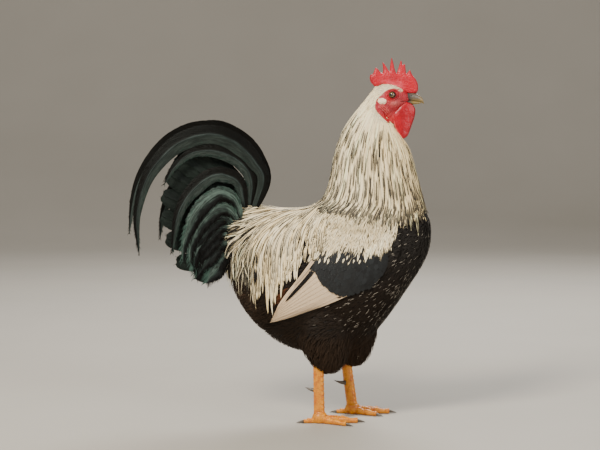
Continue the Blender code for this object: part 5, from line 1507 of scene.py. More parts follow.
class ROOSTER_OT_wings(bpy.types.Operator):
    """Lays the wings' white bow, blue-black bar and pale bay"""
    bl_idname = "rooster.wings"
    bl_label = "Wings"

    def execute(self, context):
        rng = np.random.default_rng(settings().seed + 2)
        self.bay(rng)
        self.bar(rng)
        self.bow(rng)
        self.bow_tips(rng)
        return {"FINISHED"}

    def bow(self, rng):
        """Small white feathers, striped near the bow's lower edge and its rear."""
        look = settings()
        material = plumage("bow", look.stripe, shaft=0.34, start=0.6, end=0.92, scatter=0.1,
                           barbs=22.0, edge=0.7, edge_tint_and_shade=STRAND_GAP_SHADE)
        roots = GUIDES[FINE].scatter(rng, 0.0022, on_wing(BOW), 140000)
        x, _, z = roots[0].T
        count = len(x)
        near = 1 - ease(0.006, 0.016, edge_distance(BOW_EDGE, x, z))
        marked = np.maximum(near, 1 - ease(0.068, 0.098, x))
        striped = rng.random(count) < 0.1 + 0.55 * marked
        stripes = np.where(striped, rng.uniform(0.45, 0.8, count) + 0.2 * marked, 0.0)
        colours = blend(look.cream, look.white, rng.uniform(0.2, 1.0, count))
        colours = colours * rng.uniform(0.74, 1.0, (count, 1))
        coat("wing_bow", roots, bow_flow, rng.uniform(0.013, 0.019, count),
             rng.uniform(0.0013, 0.002, count) + 0.0005 * near, "lance", colours, stripes, rng, material,
             root=-0.0012, tip=0.0014, crown=0.26, thick=0.0001, wander=0.14)

    def bow_tips(self, rng):
        """Pointed white feathers along the bow's lower and front edge."""
        look = settings()
        material = plumage("bow_tips", look.stripe, shaft=0.15, start=0.3, end=0.72, scatter=0.1,
                           barbs=22.0, edge=0.1)
        roots = GUIDES[FINE].scatter(rng, 0.0056, on_wing(BOW, 0.006, 0.015), 30000)
        count = len(roots[0])
        coat("wing_bow_tips", roots, bow_flow, rng.uniform(0.016, 0.02, count),
             rng.uniform(0.0028, 0.0036, count), "lance", varied(rng, look.white, count, 0.06),
             rng.uniform(0.7, 1.0, count), rng, material, steps=7, root=-0.0008,
             tip=0.0026, crown=0.08, thick=0.0001, wander=0.12)

    def bar(self, rng):
        """Broad round feathers that end along the bar's lower edge, darker to the front; the paler rear is
        partly painted blue-grey sheen.
        """
        look = settings()
        material = plumage("bar", (0.015, 0.017, 0.018), shaft=0.5, start=0.0, end=1.0, barbs=16.0,
                           rough=0.5, gloss=0.22, edge=0.4, edge_tint_and_shade=(0.01, 0.01, 0.011))
        roots = GUIDES[FINE].scatter(rng, 0.004, on_wing(BAR_ROOTS), 60000)
        x, _, z = roots[0].T
        count = len(x)
        lean = bow_flow(roots[0], None)[:, 0]
        low_edge = list(zip(*BAR[1:11]))
        room = z - np.interp(x, *low_edge)
        room = z - np.interp(x + lean * room, *low_edge)
        lengths = np.clip(room * np.hypot(1, lean), 0.01, 0.026) * rng.uniform(0.96, 1.04, count)
        # Paler to the rear, partly as painted blue-grey sheen.
        colours = varied(rng, look.bar, count, 0.08) * (1 - 0.62 * ease(0.118, 0.168, x))[:, None]
        coat("wing_bar", roots, bow_flow, lengths, rng.uniform(0.0044, 0.0056, count), "round", colours,
             rng.uniform(0.0, 1.0, count), rng, material, steps=8, root=0.0002,
             tip=0.0024, crown=0.02, thick=0.0001, wander=0.03, laid=CALM)

    def bay(self, rng):
        """The flight feathers, long vanes that meet at the wing's tip, under a dark and a pale one."""
        look = settings()
        material = plumage("bay", (0.2, 0.15, 0.1), shaft=-0.06, start=0.0, end=1.0, barbs=90.0,
                           rough=0.55, edge=0.07, line=0.22)
        lines, heights, colours = [], [], []
        for k in range(BAY_FEATHERS):
            t = k / (BAY_FEATHERS - 1)
            root = (0.128 - 0.052 * t, 0.228 + 0.052 * t)
            tip = (BAY_TIP[0] + 0.012 * t, BAY_TIP[1] + 0.024 * t)
            middle = ((root[0] + tip[0]) / 2 - 0.001, (root[1] + tip[1]) / 2 - 0.002 + 0.0055 * t)
            lines.append([root, middle, tip])
            heights.append(0.0013 + 0.0002 * k)
            colours.append(np.array(look.bay) * (1.0 + 0.1 * t))
        for line, height, _, shade in TERTIALS:
            lines.append(line)
            heights.append(height)
            colours.append(np.array(getattr(look, shade)))
        lines = np.array([along_arc(line, 24) for line in lines])
        halves = np.array([BAY_HALF] * BAY_FEATHERS + [half for _, _, half, _ in TERTIALS])
        t = np.linspace(0, 1, 25)
        rise = np.array(heights)[:, None] * ease(0.1, 0.4, t) - 0.003 * (1 - ease(0.0, 0.34, t))
        widths = halves[:, None] * outline_of("vane", t) * (1 - 0.45 * t)
        for side, word in SIDES:
            paths, normals, faces = side_paths(lines, side)
            mesh = webs(f"wing_bay_{word}", paths + normals * rise[..., None], normals, widths, 0.04, rng,
                        np.array(colours), GUIDES[FINE].uv[faces[:, 0]], 0.5, camber=0.02)
            show(f"wing_bay_{word}", mesh, material, (f"wing_{word}",), RIDGE)


def along_arc(points, steps):
    """Evenly spaced points of a smooth curve through the given ones."""
    fine = read(points, np.linspace(0, 1, 200))
    run = run_of(fine)
    return at_run(fine, run, np.linspace(0, run[-1], steps + 1))


def side_paths(lines, side):
    """Lines (x, z) laid on the form's side, with the smooth normals under them."""
    guide = GUIDES[FINE]
    points = np.empty((*lines.shape[:2], 3))
    faces = np.zeros(lines.shape[:2], int)
    for i, line in enumerate(lines.tolist()):
        for j, (x, z) in enumerate(line):
            spot, _, face, _ = guide.tree.ray_cast(Vector((x, side * 0.5, z)), Vector((0, -side, 0)))
            if spot is None:
                spot, _, face, _ = guide.tree.find_nearest(Vector((x, side * 0.03, z)))
            points[i, j], faces[i, j] = spot, face
    flat = guide.smooth_normals(points.reshape(-1, 3), faces.ravel()).reshape(points.shape)
    for _ in range(3):
        flat[:, 1:-1] = unit(flat[:, :-2] + flat[:, 1:-1] * 2 + flat[:, 2:])
        points[:, 1:-1, 1] = (points[:, :-2, 1] + points[:, 1:-1, 1] * 2 + points[:, 2:, 1]) / 4
    return points, flat, faces


# Saddle

def saddle_flow(p, n):
    """The lie of the saddle's feathers: back along the rump, then down over the flank."""
    fall = ease(0, 1, (0.356 - p[:, 2]) / 0.085 + (p[:, 0] + 0.02) * 5) * math.pi / 2
    aside = np.clip(p[:, 1] / 0.02, -1, 1) * 0.45 * np.cos(fall)
    return direction(p, -np.cos(fall), aside, -np.sin(fall) - 0.12)


def saddle_room(x):
    """How low the saddle's tips hang at x."""
    return np.interp(x, *zip(*SADDLE_EDGE))


def over_tail(top):
    """A region of the rump at the roots of the tail, up to a height."""
    return lambda x, y, z: (x > -0.084) & (x < -0.03) & (z > 0.262) & (z < top)


class ROOSTER_OT_saddle(bpy.types.Operator):
    """Lays the long narrow feathers that hang over the rump"""
    bl_idname = "rooster.saddle"
    bl_label = "Saddle"

    def execute(self, context):
        rng = np.random.default_rng(settings().seed + 3)
        self.hanging(rng)
        self.border(rng)
        self.wisps(rng)
        return {"FINISHED"}

    def hanging(self, rng):
        """The pale feathers: a few long ones that reach the saddle's edge, and shorter ones."""
        look = settings()
        material = plumage("saddle", look.stripe, shaft=0.23, start=0.34, end=0.84, scatter=0.24,
                           barbs=44.0, edge=0.85, edge_tint_and_shade=STRAND_GAP_SHADE)

        def region(x, y, z):
            low = np.interp(x, [-0.06, -0.03, 0.02, 0.048, 0.088], [0.3, 0.255, 0.25, 0.29, 0.352])
            return (x > -0.058) & (x < 0.088) & (z > low) & (z < 0.385)

        roots = GUIDES[FINE].scatter(rng, 0.0058, region, 40000)
        spots = roots[0]
        count = len(spots)
        paths, _ = GUIDES[CALM].march(spots, saddle_flow, np.full(count, SADDLE_LONG), SADDLE_STEPS,
                                      np.random.default_rng(look.seed), 0.03)
        long_one = rng.random(count) < 0.17
        short = np.where(long_one, 0.0, rng.uniform(0.02, 0.052, count))
        limit = saddle_room(paths[..., 0]) + (short + rng.normal(0, 0.004, count))[:, None]
        out = paths[..., 2] < limit
        reach = np.where(out.any(1), out.argmax(1), SADDLE_STEPS) / SADDLE_STEPS
        lengths = np.clip(SADDLE_LONG * reach, 0.018, 0.085) * rng.uniform(0.85, 1.0, count)
        rear = 1 - ease(-0.052, -0.03, spots[:, 0])
        halves = np.where(long_one, 0.0042, 0.0031) * rng.uniform(0.8, 1.15, count) * (1 - 0.35 * rear)
        colours = blend(look.cream, look.white, rng.uniform(0, 1, count)) * rng.uniform(0.88, 1.0, (count, 1))
        striped = rng.random(count) < 0.72 + 0.3 * rear
        stripes = np.where(striped, rng.uniform(0.85, 1.0, count), 0.0)
        coat("saddle", roots, saddle_flow, lengths, halves, "strand", colours, stripes, rng, material,
             steps=14, root=-0.001, tip=0.0042, crown=0.34, wander=0.03,
             nodes=("saddle",), laid=CALM)

    def border(self, rng):
        """Narrow dark feathers with pale edges, between the saddle and the tail."""
        look = settings()
        material = plumage("saddle_border", look.charcoal, shaft=0.4, start=0.0, end=0.93, barbs=30.0,
                           edge=0.0)
        roots = GUIDES[FINE].scatter(rng, 0.0046, over_tail(1.0), 20000)
        count = len(roots[0])
        dark = rng.choice([0.02, 0.3, 0.75], (count, 1), p=(0.45, 0.25, 0.3))
        coat("saddle_border", roots, saddle_flow, rng.uniform(0.03, 0.058, count),
             rng.uniform(0.0011, 0.002, count), "lance", varied(rng, look.white, count, 0.15) * dark,
             np.ones(count), rng, material, steps=12, root=-0.001, tip=0.008,
             crown=0.3, wander=0.1, laid=CALM)

    def wisps(self, rng):
        """Thin pale strands that stand out over the roots of the tail."""
        look = settings()
        material = plumage("wisps", look.stripe, shaft=0.1, start=0.0, end=0.4, edge=0.2)
        roots = GUIDES[FINE].scatter(rng, 0.0062, over_tail(0.343), 20000)
        count = len(roots[0])
        coat("saddle_wisps", roots, saddle_flow, rng.uniform(0.034, 0.06, count),
             rng.uniform(0.0004, 0.0007, count), "strand", varied(rng, look.white, count, 0.15),
             np.zeros(count), rng, material, steps=12, root=-0.001, tip=0.0105,
             crown=0.5, wander=0.22, laid=CALM)


# Tail

def webs(name, paths, normals, halves, ragged, rng, colours, roots, slant=0.6, camber=0.1, flip=None):
    """Large feathers: a shaft with a web of barbs on each side, closed and thin, with ragged
    edges. The barbs lean forward by the slant."""
    count, steps = paths.shape[:2]
    ahead = unit(np.gradient(paths, axis=1))
    normal = unit(normals - ahead * dot(normals, ahead))
    side = np.cross(ahead, normal)
    edge = 1 - ragged * rng.random((count, steps, 2)) ** 4
    rings = []
    for u, under in [(u, 0) for u in WEB_TOP] + [(u, 1) for u in WEB_UNDER]:
        reach = u * halves * (1 - abs(u) ** 4 * (1 - edge[..., 0 if u < 0 else 1]))
        high = camber * halves * (1 - u * u) + 0.0007 * (abs(u) < 0.05) * (1 - under)
        rings.append(paths + side * reach[..., None] + ahead * (np.abs(reach) * slant)[..., None]
                     + normal * (high - WEB_THICK * under)[..., None])
    ring = np.stack(rings, 2)
    sides = ring.shape[2]
    caps = [[i, i + 1, sides - 2 - i, sides - 1 - i] for i in range(sides // 2 - 1)]
    last = [[(steps - 1) * sides + i for i in cap] for cap in caps]
    one = np.concatenate([tube_faces(steps, sides), [cap[::-1] for cap in caps], last])
    faces = (one[None] + (np.arange(count) * steps * sides)[:, None, None]).reshape(-1, 4)
    mesh = new_mesh(name, ring.reshape(-1, 3), faces)
    u = np.tile(np.array([(u + 1) / 2 for u in WEB_TOP + WEB_UNDER]), count * steps)
    if flip is not None:
        u = np.where(np.repeat(flip, steps * sides), 1 - u, u)
    v = np.tile(np.repeat(np.linspace(0, 1, steps), sides), count)
    plume = np.ones((count, steps * sides, 4), np.float32)
    plume[..., :3] = colours[:, None]
    mark_feathers(mesh, faces, u, v, roots, plume.reshape(-1, 4), rng.random(count))
    return mesh


def tail_material(name, outer, inner, split=(0.44, 0.56), rough=0.45, gloss=0.16, glint=0.0,
                  streak=0.5, streak_long=12.0, drift=0.12):
    """A tail feather with webs of two colours, streaks, fine barbs and a painted glint, a bright line between
    the webs, which lie apart at the split."""
    material, tree, shader = shader_of(name)
    place = vane_place(tree)
    marks = pattern(tree, "Vane pattern", {"Shaft Width": -0.1, "Start": 0.0, "End": 1.0, "Barbs": 260.0})
    cloud = clouds(tree, own_place(tree), 60.0, 3.0)
    across = maths(tree, "ADD", place[0], times(tree, cloud, drift))
    middle = (split[0] + split[1]) / 2 + drift / 2
    share = span(tree, across, split[0] + drift / 2, split[1] + drift / 2)
    line = times(tree, span(tree, across, middle - 0.07, middle), span(tree, across, middle + 0.16, middle))
    base = mix(tree, share, rgba(outer), rgba(inner))
    # Painted glint: a bright teal line where the two webs meet.
    base = mix(tree, times(tree, line, glint), base, (0.075, 0.105, 0.1, 1.0))
    base = darkened(tree, times(tree, cloud, 0.7), base, 0.7)
    base = mix(tree, 1.0, base, attribute(tree, "plume")["Color"], "MULTIPLY")
    lane = add(tree, "ShaderNodeCombineXYZ",
               {0: times(tree, place[0], 8.0), 1: times(tree, place[1], streak_long),
                2: times(tree, attribute(tree, "draw")["Fac"], 37.0)})
    hair = clouds(tree, lane.outputs[0], 1.0, 4.0, 0.7)
    base = darkened(tree, times(tree, span(tree, hair, 0.4, 0.6), streak), base, 0.85)
    base = darkened(tree, times(tree, marks["Barbs"], 0.6), base, 0.7)
    base = mix(tree, times(tree, marks["Shaft"], 0.2), base, (0.08, 0.09, 0.085, 1.0))
    finish(tree, shader, base, marks["Barbs"], 0.35, 0.0004,
           {"Roughness": rough, "Specular IOR Level": gloss, "Specular Tint": (0.9, 1.0, 0.97, 1.0)})
    return material


def tail_paths(feathers, steps, lean):
    """Paths and normals of tail feathers, each given as its line (x, z) and its distances y
    from the middle at root, on the way and at the tip."""
    t = np.linspace(0, 1, steps + 1)
    paths, normals = [], []
    for line, ys in feathers:
        flat = along_arc(line, steps)
        y = read([(v,) for v in ys], t)[:, 0]
        paths.append(np.stack([flat[:, 0], y, flat[:, 1]], 1))
        side = -1.0 if ys[-1] < 0 else 1.0
        normals.append(np.tile([0.0, side, lean], (steps + 1, 1)))
    return np.array(paths), unit(np.array(normals))


class ROOSTER_OT_tail(bpy.types.Operator):
    """Builds the tail's main feathers, sickles and coverts"""
    bl_idname = "rooster.tail"
    bl_label = "Tail"

    def execute(self, context):
        look = settings()
        rng = np.random.default_rng(look.seed + 4)
        green, charcoal = np.array(look.green), np.array(look.charcoal)
        dull = blend(charcoal, green, [0.4])[0]
        slate = blend(green, (0.024, 0.024, 0.023), [0.6])[0]
        soft = blend(green, (0.03, 0.033, 0.03), [0.35])[0]
        main = tail_material("tail_main", dull, dull * 1.3, rough=0.5)
        sickle = tail_material("sickle", charcoal, slate * 2.1, split=(0.34, 0.62), gloss=0.12, glint=0.5)
        # Green outer webs and near-black inner webs; the dark inner webs partly paint the shadow in the gaps
        # between the layered coverts.
        covert = tail_material("covert", soft * 4.0, charcoal * 0.4, split=(0.34, 0.7), glint=0.2,
                               streak=0.9, streak_long=5.0, drift=0.55)
        barbs = plumage("tail_barbs", look.stripe, shaft=-0.2, edge=0.0, barbs=20.0, gloss=0.12)

        paths, normals = tail_paths([main_feather(side, k) for side, _ in SIDES
                                     for k in range(len(MAIN_TIPS))], MAIN_STEPS, 0.14)
        narrower = np.tile(1 - 0.42 * np.linspace(0, 1, len(MAIN_TIPS)) ** 3, 2)[:, None]
        halves = MAIN_HALF * narrower * outline_of("blunt", np.linspace(0, 1, MAIN_STEPS + 1))
        webbed("tail_main", paths, normals, halves, 0.06, rng, main, ("tail",))
        frill("tail_main_barbs", paths, normals, halves, dull, dull * 1.3, rng, 110, 0.008, barbs)
        for side, word in SIDES:
            feathers = [(line, [side * (y + layer) for y in SICKLE_Y])
                        for line, layer in zip(SICKLES[side], SICKLE_LAYERS)]
            paths, normals = tail_paths(feathers, SICKLE_STEPS, 0.0)
            t = np.linspace(0, 1, SICKLE_STEPS + 1)
            halves = np.array(SICKLE_HALVES)[:, None] * outline_of("sickle", t)
            webbed(f"sickles_{word}", paths, normals, halves, 0.03, rng, sickle)
            frill(f"sickle_barbs_{word}", paths, normals, halves, charcoal, green, rng, 240, 0.006, barbs)

            places = np.linspace(0, 4, COVERT_COUNT) + np.append(0, rng.normal(0, 0.13, COVERT_COUNT - 1))
            feathers = [covert_feather(side, k, i) for i, k in enumerate(np.clip(places, 0, 4))]
            paths, normals = tail_paths(feathers, COVERT_STEPS, 0.12)
            shares = rng.uniform(0.86, 1.04, COVERT_COUNT)
            paths = paths[:, :1] + (paths - paths[:, :1]) * shares[:, None, None]
            spread = rng.uniform(0.85, 1.15, (COVERT_COUNT, 1))
            halves = COVERT_HALF * spread * outline_of("sickle", np.linspace(0, 1, COVERT_STEPS + 1))
            webbed(f"tail_coverts_{word}", paths, normals, halves, 0.16, rng, covert)
            # Their loose barbs likewise: green outside, near-black inside, partly painted shadow between
            # coverts.
            frill(f"covert_barbs_{word}", paths, normals, halves, green * 2.2, charcoal * 0.4, rng, 260,
                  0.011, barbs)
        return {"FINISHED"}


def root_patches(paths):
    """Places in the bake map under the roots of large feathers."""
    guide = GUIDES[FINE]
    return np.array([guide.uv[guide.tree.find_nearest(Vector(path[0]))[2]] for path in paths])


def webbed(name, paths, normals, halves, ragged, rng, material, nodes=None):
    """Large feathers of the tail, each a little darker or paler than the others."""
    shade = np.ones((len(paths), 3)) * rng.uniform(0.65, 1.35, (len(paths), 1))
    mesh = webs(name, paths, normals, halves, ragged, rng, shade, root_patches(paths),
                flip=paths[:, -1, 1] < 0)
    show(name, mesh, material, nodes, RIDGE)


def frill(name, paths, normals, halves, outer, inner, rng, each, long, material):
    """Loose barbs that stand out along the edges of large feathers."""
    count, steps = paths.shape[:2]
    which = np.repeat(np.arange(count), each)
    number = len(which)
    at = rng.integers(steps // 8, steps - 1, number)
    sign = rng.choice([-1.0, 1.0], number)
    ahead = unit(np.gradient(paths, axis=1))[which, at]
    normal = unit(normals[which, at] - ahead * dot(normals[which, at], ahead))
    side = np.cross(ahead, normal) * sign[:, None]
    start = paths[which, at] + side * (halves[which, at] * rng.uniform(0.35, 0.85, number))[:, None]
    t = np.linspace(0, 1, 5)[None, :, None]
    lengths = (long * rng.uniform(0.6, 1.2, number))[:, None, None]
    bent = side[:, None] * (0.62 * t - 0.22 * t * t) + ahead[:, None] * 0.85 * t
    lines = start[:, None] + lengths * bent + normal[:, None] * (0.0006 + 0.0007 * t)
    widths = rng.uniform(0.0003, 0.0006, (number, 1)) * outline_of("lance", t[:, :, 0])
    outwards = (sign < 0) != (paths[which, -1, 1] < 0)
    colours = np.where(outwards[:, None], outer, inner) * rng.uniform(0.5, 1.3, (number, 1))
    mesh = blades(name, lines, np.repeat(normal[:, None], 5, axis=1), np.maximum(widths, 0.00004), 0.3,
                  0.0001, colours, np.zeros(number), root_patches(paths)[which], rng.random(number))
    show(name, mesh, material, (), RIDGE)


def main_feather(side, k):
    """The line of a main feather and its distances from the middle, fanned from the tail's root."""
    (root_x, root_z), (low_x, low_z) = MAIN_ROOT
    x, z = MAIN_TIPS[k]
    t = k / (len(MAIN_TIPS) - 1)
    root = (root_x + (low_x - root_x) * t, root_z + (low_z - root_z) * t)
    middle = ((root[0] + x) / 2 - 0.004, (root[1] + z) / 2 + 0.01 * (1 - 2 * t))
    near, far = side * (0.0032 + 0.0017 * (k % 2)), side * (0.0045 + 0.0115 * t)
    return [root, middle, (x, z)], [near, near + (far - near) * 0.35, far]


def covert_feather(side, k, number):
    """A covert between two of the given ones, the upper ones over the lower."""
    low = min(int(k), len(COVERTS) - 2)
    share = k - low
    line = (1 - share) * along_arc(COVERTS[low], 10) + share * along_arc(COVERTS[low + 1], 10)
    layer = 0.0006 * (COVERT_COUNT - number)
    return line.tolist(), [side * (y + layer) for y in (0.0226, 0.033 + 0.002 * k, 0.042 + 0.002 * k)]


# Legs

def leg_material():
    """Yellow scales, darker between them."""
    leg = settings().leg
    material, tree, shader = shader_of("leg")
    at = own_place(tree)
    cell = add(tree, "ShaderNodeTexVoronoi", {"Vector": at, "Scale": 420.0}, feature="DISTANCE_TO_EDGE")
    own = attribute(tree, "plume")
    seams = times(tree, span(tree, cell.outputs["Distance"], 0.12, 0.0),
                  maths(tree, "SUBTRACT", 1.0, own["Alpha"]))
    ruddy = rgba(np.array(leg) * (0.66, 0.42, 0.8))
    base = mix(tree, span(tree, clouds(tree, at, 120.0, 3.0), 0.4, 0.72), own["Color"], ruddy)
    base = mix(tree, times(tree, seams, 0.55), base, rgba(leg, 0.28))
    finish(tree, shader, base, maths(tree, "SUBTRACT", 1.0, seams), 0.5, 0.0005,
           {"Roughness": 0.42, "Coat Weight": 0.12, "Coat Roughness": 0.3})
    return material


def horn_material():
    horn = settings().horn
    material, tree, shader = shader_of("claw")
    streak = clouds(tree, own_place(tree), 300.0, 3.0)
    base = mix(tree, streak, rgba(horn, 0.35), rgba(horn, 0.9))
    finish(tree, shader, base, streak, 0.2, 0.0004, {"Roughness": 0.3})
    return material


def pipe(path, radii, sides, up, floor=None):
    """Points and faces of a round form along a path, with its radii across and up."""
    path, radii = np.asarray(path, float), np.asarray(radii, float)
    ahead = unit(np.gradient(path, axis=0))
    side = unit(np.cross(ahead, np.asarray(up, float)))
    top = unit(np.cross(side, ahead))
    angle = (np.arange(sides) / sides * 2 * math.pi)[None, :, None]
    ring = (path[:, None] + side[:, None] * radii[:, None, :1] * np.cos(angle)
            + top[:, None] * radii[:, None, 1:] * np.sin(angle))
    points = ring.reshape(-1, 3)
    if floor is not None:
        points[:, 2] = np.maximum(points[:, 2], floor)
    return points.tolist(), capped_faces(len(path), sides)


def saw(value):
    """Overlapping plates: rising slowly, falling off fast at the end."""
    part = value - np.floor(value)
    return np.minimum(part / 0.85, (1 - part) / 0.15)


class ROOSTER_OT_legs(bpy.types.Operator):
    """Builds the scaly legs and feet, the claws and the spurs"""
    bl_idname = "rooster.legs"
    bl_label = "Legs"

    def execute(self, context):
        scales, horn = leg_material(), horn_material()
        for side, word in SIDES:
            ankle = np.array([HOCK_X + THIGH_STEP[side] + LEG_LEAN[side], side * LEG_Y, 0.0])
            show(f"shank_{word}", shank(side), scales)
            foot(side, ankle, word, scales, horn)
            show(f"spur_{word}", spur(side), horn)
        return {"FINISHED"}


def shank(side):
    """A leg with overlapping plates down its front and rear."""
    top = np.array([HOCK_X + THIGH_STEP[side], side * LEG_Y, HOCK_Z + 0.02])
    foot_end = np.array([HOCK_X + THIGH_STEP[side] + LEG_LEAN[side], side * LEG_Y, ANKLE_Z - 0.004])
    t = np.linspace(0, 1, 140)
    waist = 1.0 - 0.05 * np.sin(math.pi * t) + 0.08 * hump(t, 0.0, 0.2)
    radii = np.stack([SHANK_WIDE * waist, SHANK_DEEP * waist], 1)
    mesh = closed_mesh("shank", *pipe(top + (foot_end - top) * t[:, None], radii, 48, (1, 0, 0)))
    p, n = mesh_points(mesh)
    front = ease(0.15, 0.55, n[:, 0])
    rear = ease(0.35, 0.75, -n[:, 0])
    place = (top[2] - p[:, 2]) / (top[2] - foot_end[2]) * SCUTES
    plates = front * saw(place) + 0.8 * rear * saw(place * 1.3 + 0.4)
    move_points(mesh, p + n * (0.0009 * plates)[:, None])
    paint_scales(mesh, np.maximum(front, rear), plates)
    return mesh


def paint_scales(mesh, plated, plates):
    """Colours of the scales, darker in the seams between plates."""
    leg = np.array(settings().leg)
    shade = np.where(plated > 0.3, np.clip(0.55 + 0.6 * plates, 0, 1), 0.85)
    paint_points(mesh, "plume", np.concatenate([blend(leg * 0.45, leg, shade), plated[:, None]], 1))


def foot(side, ankle, word, scales, horn):
    """A foot of one pad and four toes, plated on top, and its claws."""
    pad = ellipsoid("pad", ankle + np.array([0.001, 0, 0.0085]), (0.0125, 0.0115, 0.0125), 40, 28)
    p, _ = mesh_points(pad)
    p[:, 2] = np.clip(p[:, 2], SOLE, ANKLE_Z + 0.002)
    stem = [(ankle[0], ankle[1], z) for z in (0.004, ANKLE_Z)]
    forms = [(p.tolist(), [list(f.vertices) for f in pad.polygons]),
             pipe(stem, [(0.009, 0.009), (SHANK_WIDE * 0.98, SHANK_DEEP * 0.98)], 32, (1, 0, 0))]
    axes, claws = [], []
    for toe, degrees, length, half in TOES:
        angle = math.radians(degrees) * side
        ahead = np.array([math.cos(angle), math.sin(angle), 0.0])
        t = np.linspace(0, 1, 60)
        knuckle = 1 + 0.1 * np.cos(2 * math.pi * 3 * t)
        wide, high = half * (1.05 - 0.32 * t) * knuckle, half * (1.15 - 0.5 * t) * knuckle
        path = ankle + ahead * length * t[:, None]
        path[:, 2] = high * 0.86
        forms.append(pipe(path, np.stack([wide, high], 1), 28, (0, 0, 1), SOLE))
        axes.append((ahead, half))
        claws.append((f"claw_{word}_{toe}", claw(path[-1], ahead)))
    mesh = remeshed("foot", forms, 0.0009, 4)
    p, n = mesh_points(mesh)
    plates, plated = np.zeros(len(p)), np.zeros(len(p))
    top = ease(0.15, 0.5, n[:, 2])
    for ahead, half in axes:
        along = (p - ankle) @ ahead
        off = np.linalg.norm((p - ankle)[:, :2] - ahead[:2] * along[:, None], axis=1)
        mine = (along > 0.01) & (off < half * 1.1)
        plates = np.where(mine, top * saw(along / TOE_SCUTE), plates)
        plated = np.where(mine, top, plated)
    p += n * (0.0007 * plates)[:, None]
    p[:, 2] = np.maximum(p[:, 2], 0.0)
    move_points(mesh, p)
    paint_scales(mesh, plated, plates)
    show(f"foot_{word}", mesh, scales)
    for name, mesh in claws:
        show(name, mesh, horn)


def horn_cone(name, path, radius, wide, sides, floor):
    """A claw or spur that tapers to its point along a path."""
    size = radius * np.linspace(1, 0, len(path)) ** 0.8 + 0.00005
    return closed_mesh(name, *pipe(path, np.stack([size * wide, size], 1), sides, (0, 0, 1), floor))


def claw(end, ahead):
    t = np.linspace(0, 1, 24)
    drop = (end[2] - 0.0012) * t ** 1.6
    path = end + ahead * (CLAW_LONG * t - 0.002)[:, None] - np.array([0, 0, 1]) * drop[:, None]
    return horn_cone("claw", path, CLAW_RADIUS, 0.8, 20, 0.0)


def spur(side):
    x = HOCK_X + THIGH_STEP[side] + LEG_LEAN[side] * (HOCK_Z - SPUR_Z) / HOCK_Z
    t = np.linspace(0, 1, 28)
    path = np.stack([x - 0.003 - SPUR_LONG * t, side * (LEG_Y - 0.004 - 0.004 * t),
                     SPUR_Z - 0.002 + 0.005 * t * t], 1)
    return horn_cone("spur", path, SPUR_RADIUS, 1.0, 24, None)


# Stage

class ROOSTER_OT_stage(bpy.types.Operator):
    """Sets the pale floor, the soft lights and the camera"""
    bl_idname = "rooster.stage"
    bl_label = "Stage"

    def execute(self, context):
        floor = linked("floor", new_mesh("floor", *backdrop()))
        floor.data.shade_smooth()
        floor.data.materials.append(floor_material())
        for name, place, share, size, tint in LAMPS:
            light = bpy.data.lights.new(name, "AREA")
            light.energy = settings().key_watts * share
            light.size = size
            light.color = tint
            aimed(light, Vector(place), Vector(LAMP_AIM) - Vector(place))
        world = bpy.data.worlds.new("studio")
        world.use_nodes = True
        sky = world.node_tree.nodes["Background"].inputs
        sky["Color"].default_value = SKY
        sky["Strength"].default_value = SKY_STRENGTH
        context.scene.world = world
        camera = bpy.data.cameras.new("camera")
        camera.sensor_width = 36.0
        camera.lens = camera.sensor_width * CAMERA_FAR / FRAME_WIDE
        rise = math.radians(CAMERA_RISE)
        back = Vector((0.0, -math.cos(rise), math.sin(rise)))
        context.scene.camera = aimed(camera, Vector(CAMERA_AIM) + SHIFT + back * CAMERA_FAR, -back)
        return {"FINISHED"}


def aimed(data, place, ahead):
    """A lamp or camera at a place, looking ahead."""
    thing = linked(data.name, data)
    thing.location = place
    thing.rotation_euler = ahead.to_track_quat("-Z", "Y").to_euler()
    return thing


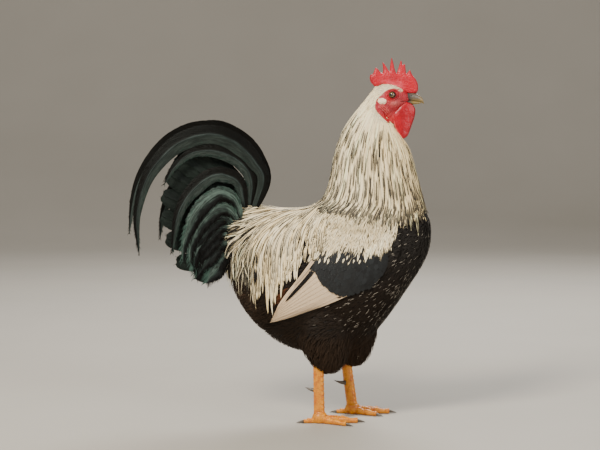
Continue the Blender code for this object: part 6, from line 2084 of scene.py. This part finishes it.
def backdrop():
    """A floor that curves up into a wall behind the bird."""
    profile = [(-12.0, 0.0), (WALL_FAR, 0.0)]
    profile += [(WALL_FAR + WALL_BEND * math.sin(a), WALL_BEND - WALL_BEND * math.cos(a))
                for a in np.linspace(0.1, math.pi / 2, 12)]
    profile.append((WALL_FAR + WALL_BEND, 8.0))
    points = [(x, y, z) for y, z in profile for x in (-12.0, 12.0)]
    faces = [(2 * k, 2 * k + 1, 2 * k + 3, 2 * k + 2) for k in range(len(profile) - 1)]
    return points, faces


def floor_material():
    material, tree, shader = shader_of("floor")
    base = mix(tree, clouds(tree, own_place(tree), 3.0, 2.0), (0.4, 0.37, 0.32, 1), (0.44, 0.41, 0.36, 1))
    tree.links.new(base, shader.inputs["Base Color"])
    shader.inputs["Roughness"].default_value = 0.8
    return material


class ROOSTER_PT_panel(bpy.types.Panel):
    """The rooster's pieces, in the order they are built"""
    bl_label = "Rooster"
    bl_idname = "ROOSTER_PT_panel"
    bl_space_type = "VIEW_3D"
    bl_region_type = "UI"
    bl_category = "Rooster"

    def draw(self, context):
        for name in RoosterSettings.__annotations__:
            self.layout.prop(context.scene.rooster, name)
        for operator in OPERATORS:
            self.layout.operator(operator.bl_idname)


OPERATORS = (ROOSTER_OT_skin, ROOSTER_OT_comb, ROOSTER_OT_bill, ROOSTER_OT_eyes, ROOSTER_OT_hackle,
             ROOSTER_OT_body_feathers, ROOSTER_OT_wings, ROOSTER_OT_saddle, ROOSTER_OT_tail,
             ROOSTER_OT_legs, ROOSTER_OT_stage)


def register():
    for thing in (RoosterSettings, *OPERATORS, ROOSTER_PT_panel):
        bpy.utils.register_class(thing)
    bpy.types.Scene.rooster = PointerProperty(type=RoosterSettings)


def unregister():
    del bpy.types.Scene.rooster
    for thing in reversed((RoosterSettings, *OPERATORS, ROOSTER_PT_panel)):
        bpy.utils.unregister_class(thing)


def main():
    register()
    vane_group()
    skin_group()
    GUIDES[:] = [Guide(*FINE_GUIDE), Guide(*CALM_GUIDE)]
    for operator in OPERATORS:
        group_name, name = operator.bl_idname.split(".")
        getattr(getattr(bpy.ops, group_name), name)()
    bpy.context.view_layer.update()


if __name__ == "__main__":
    main()
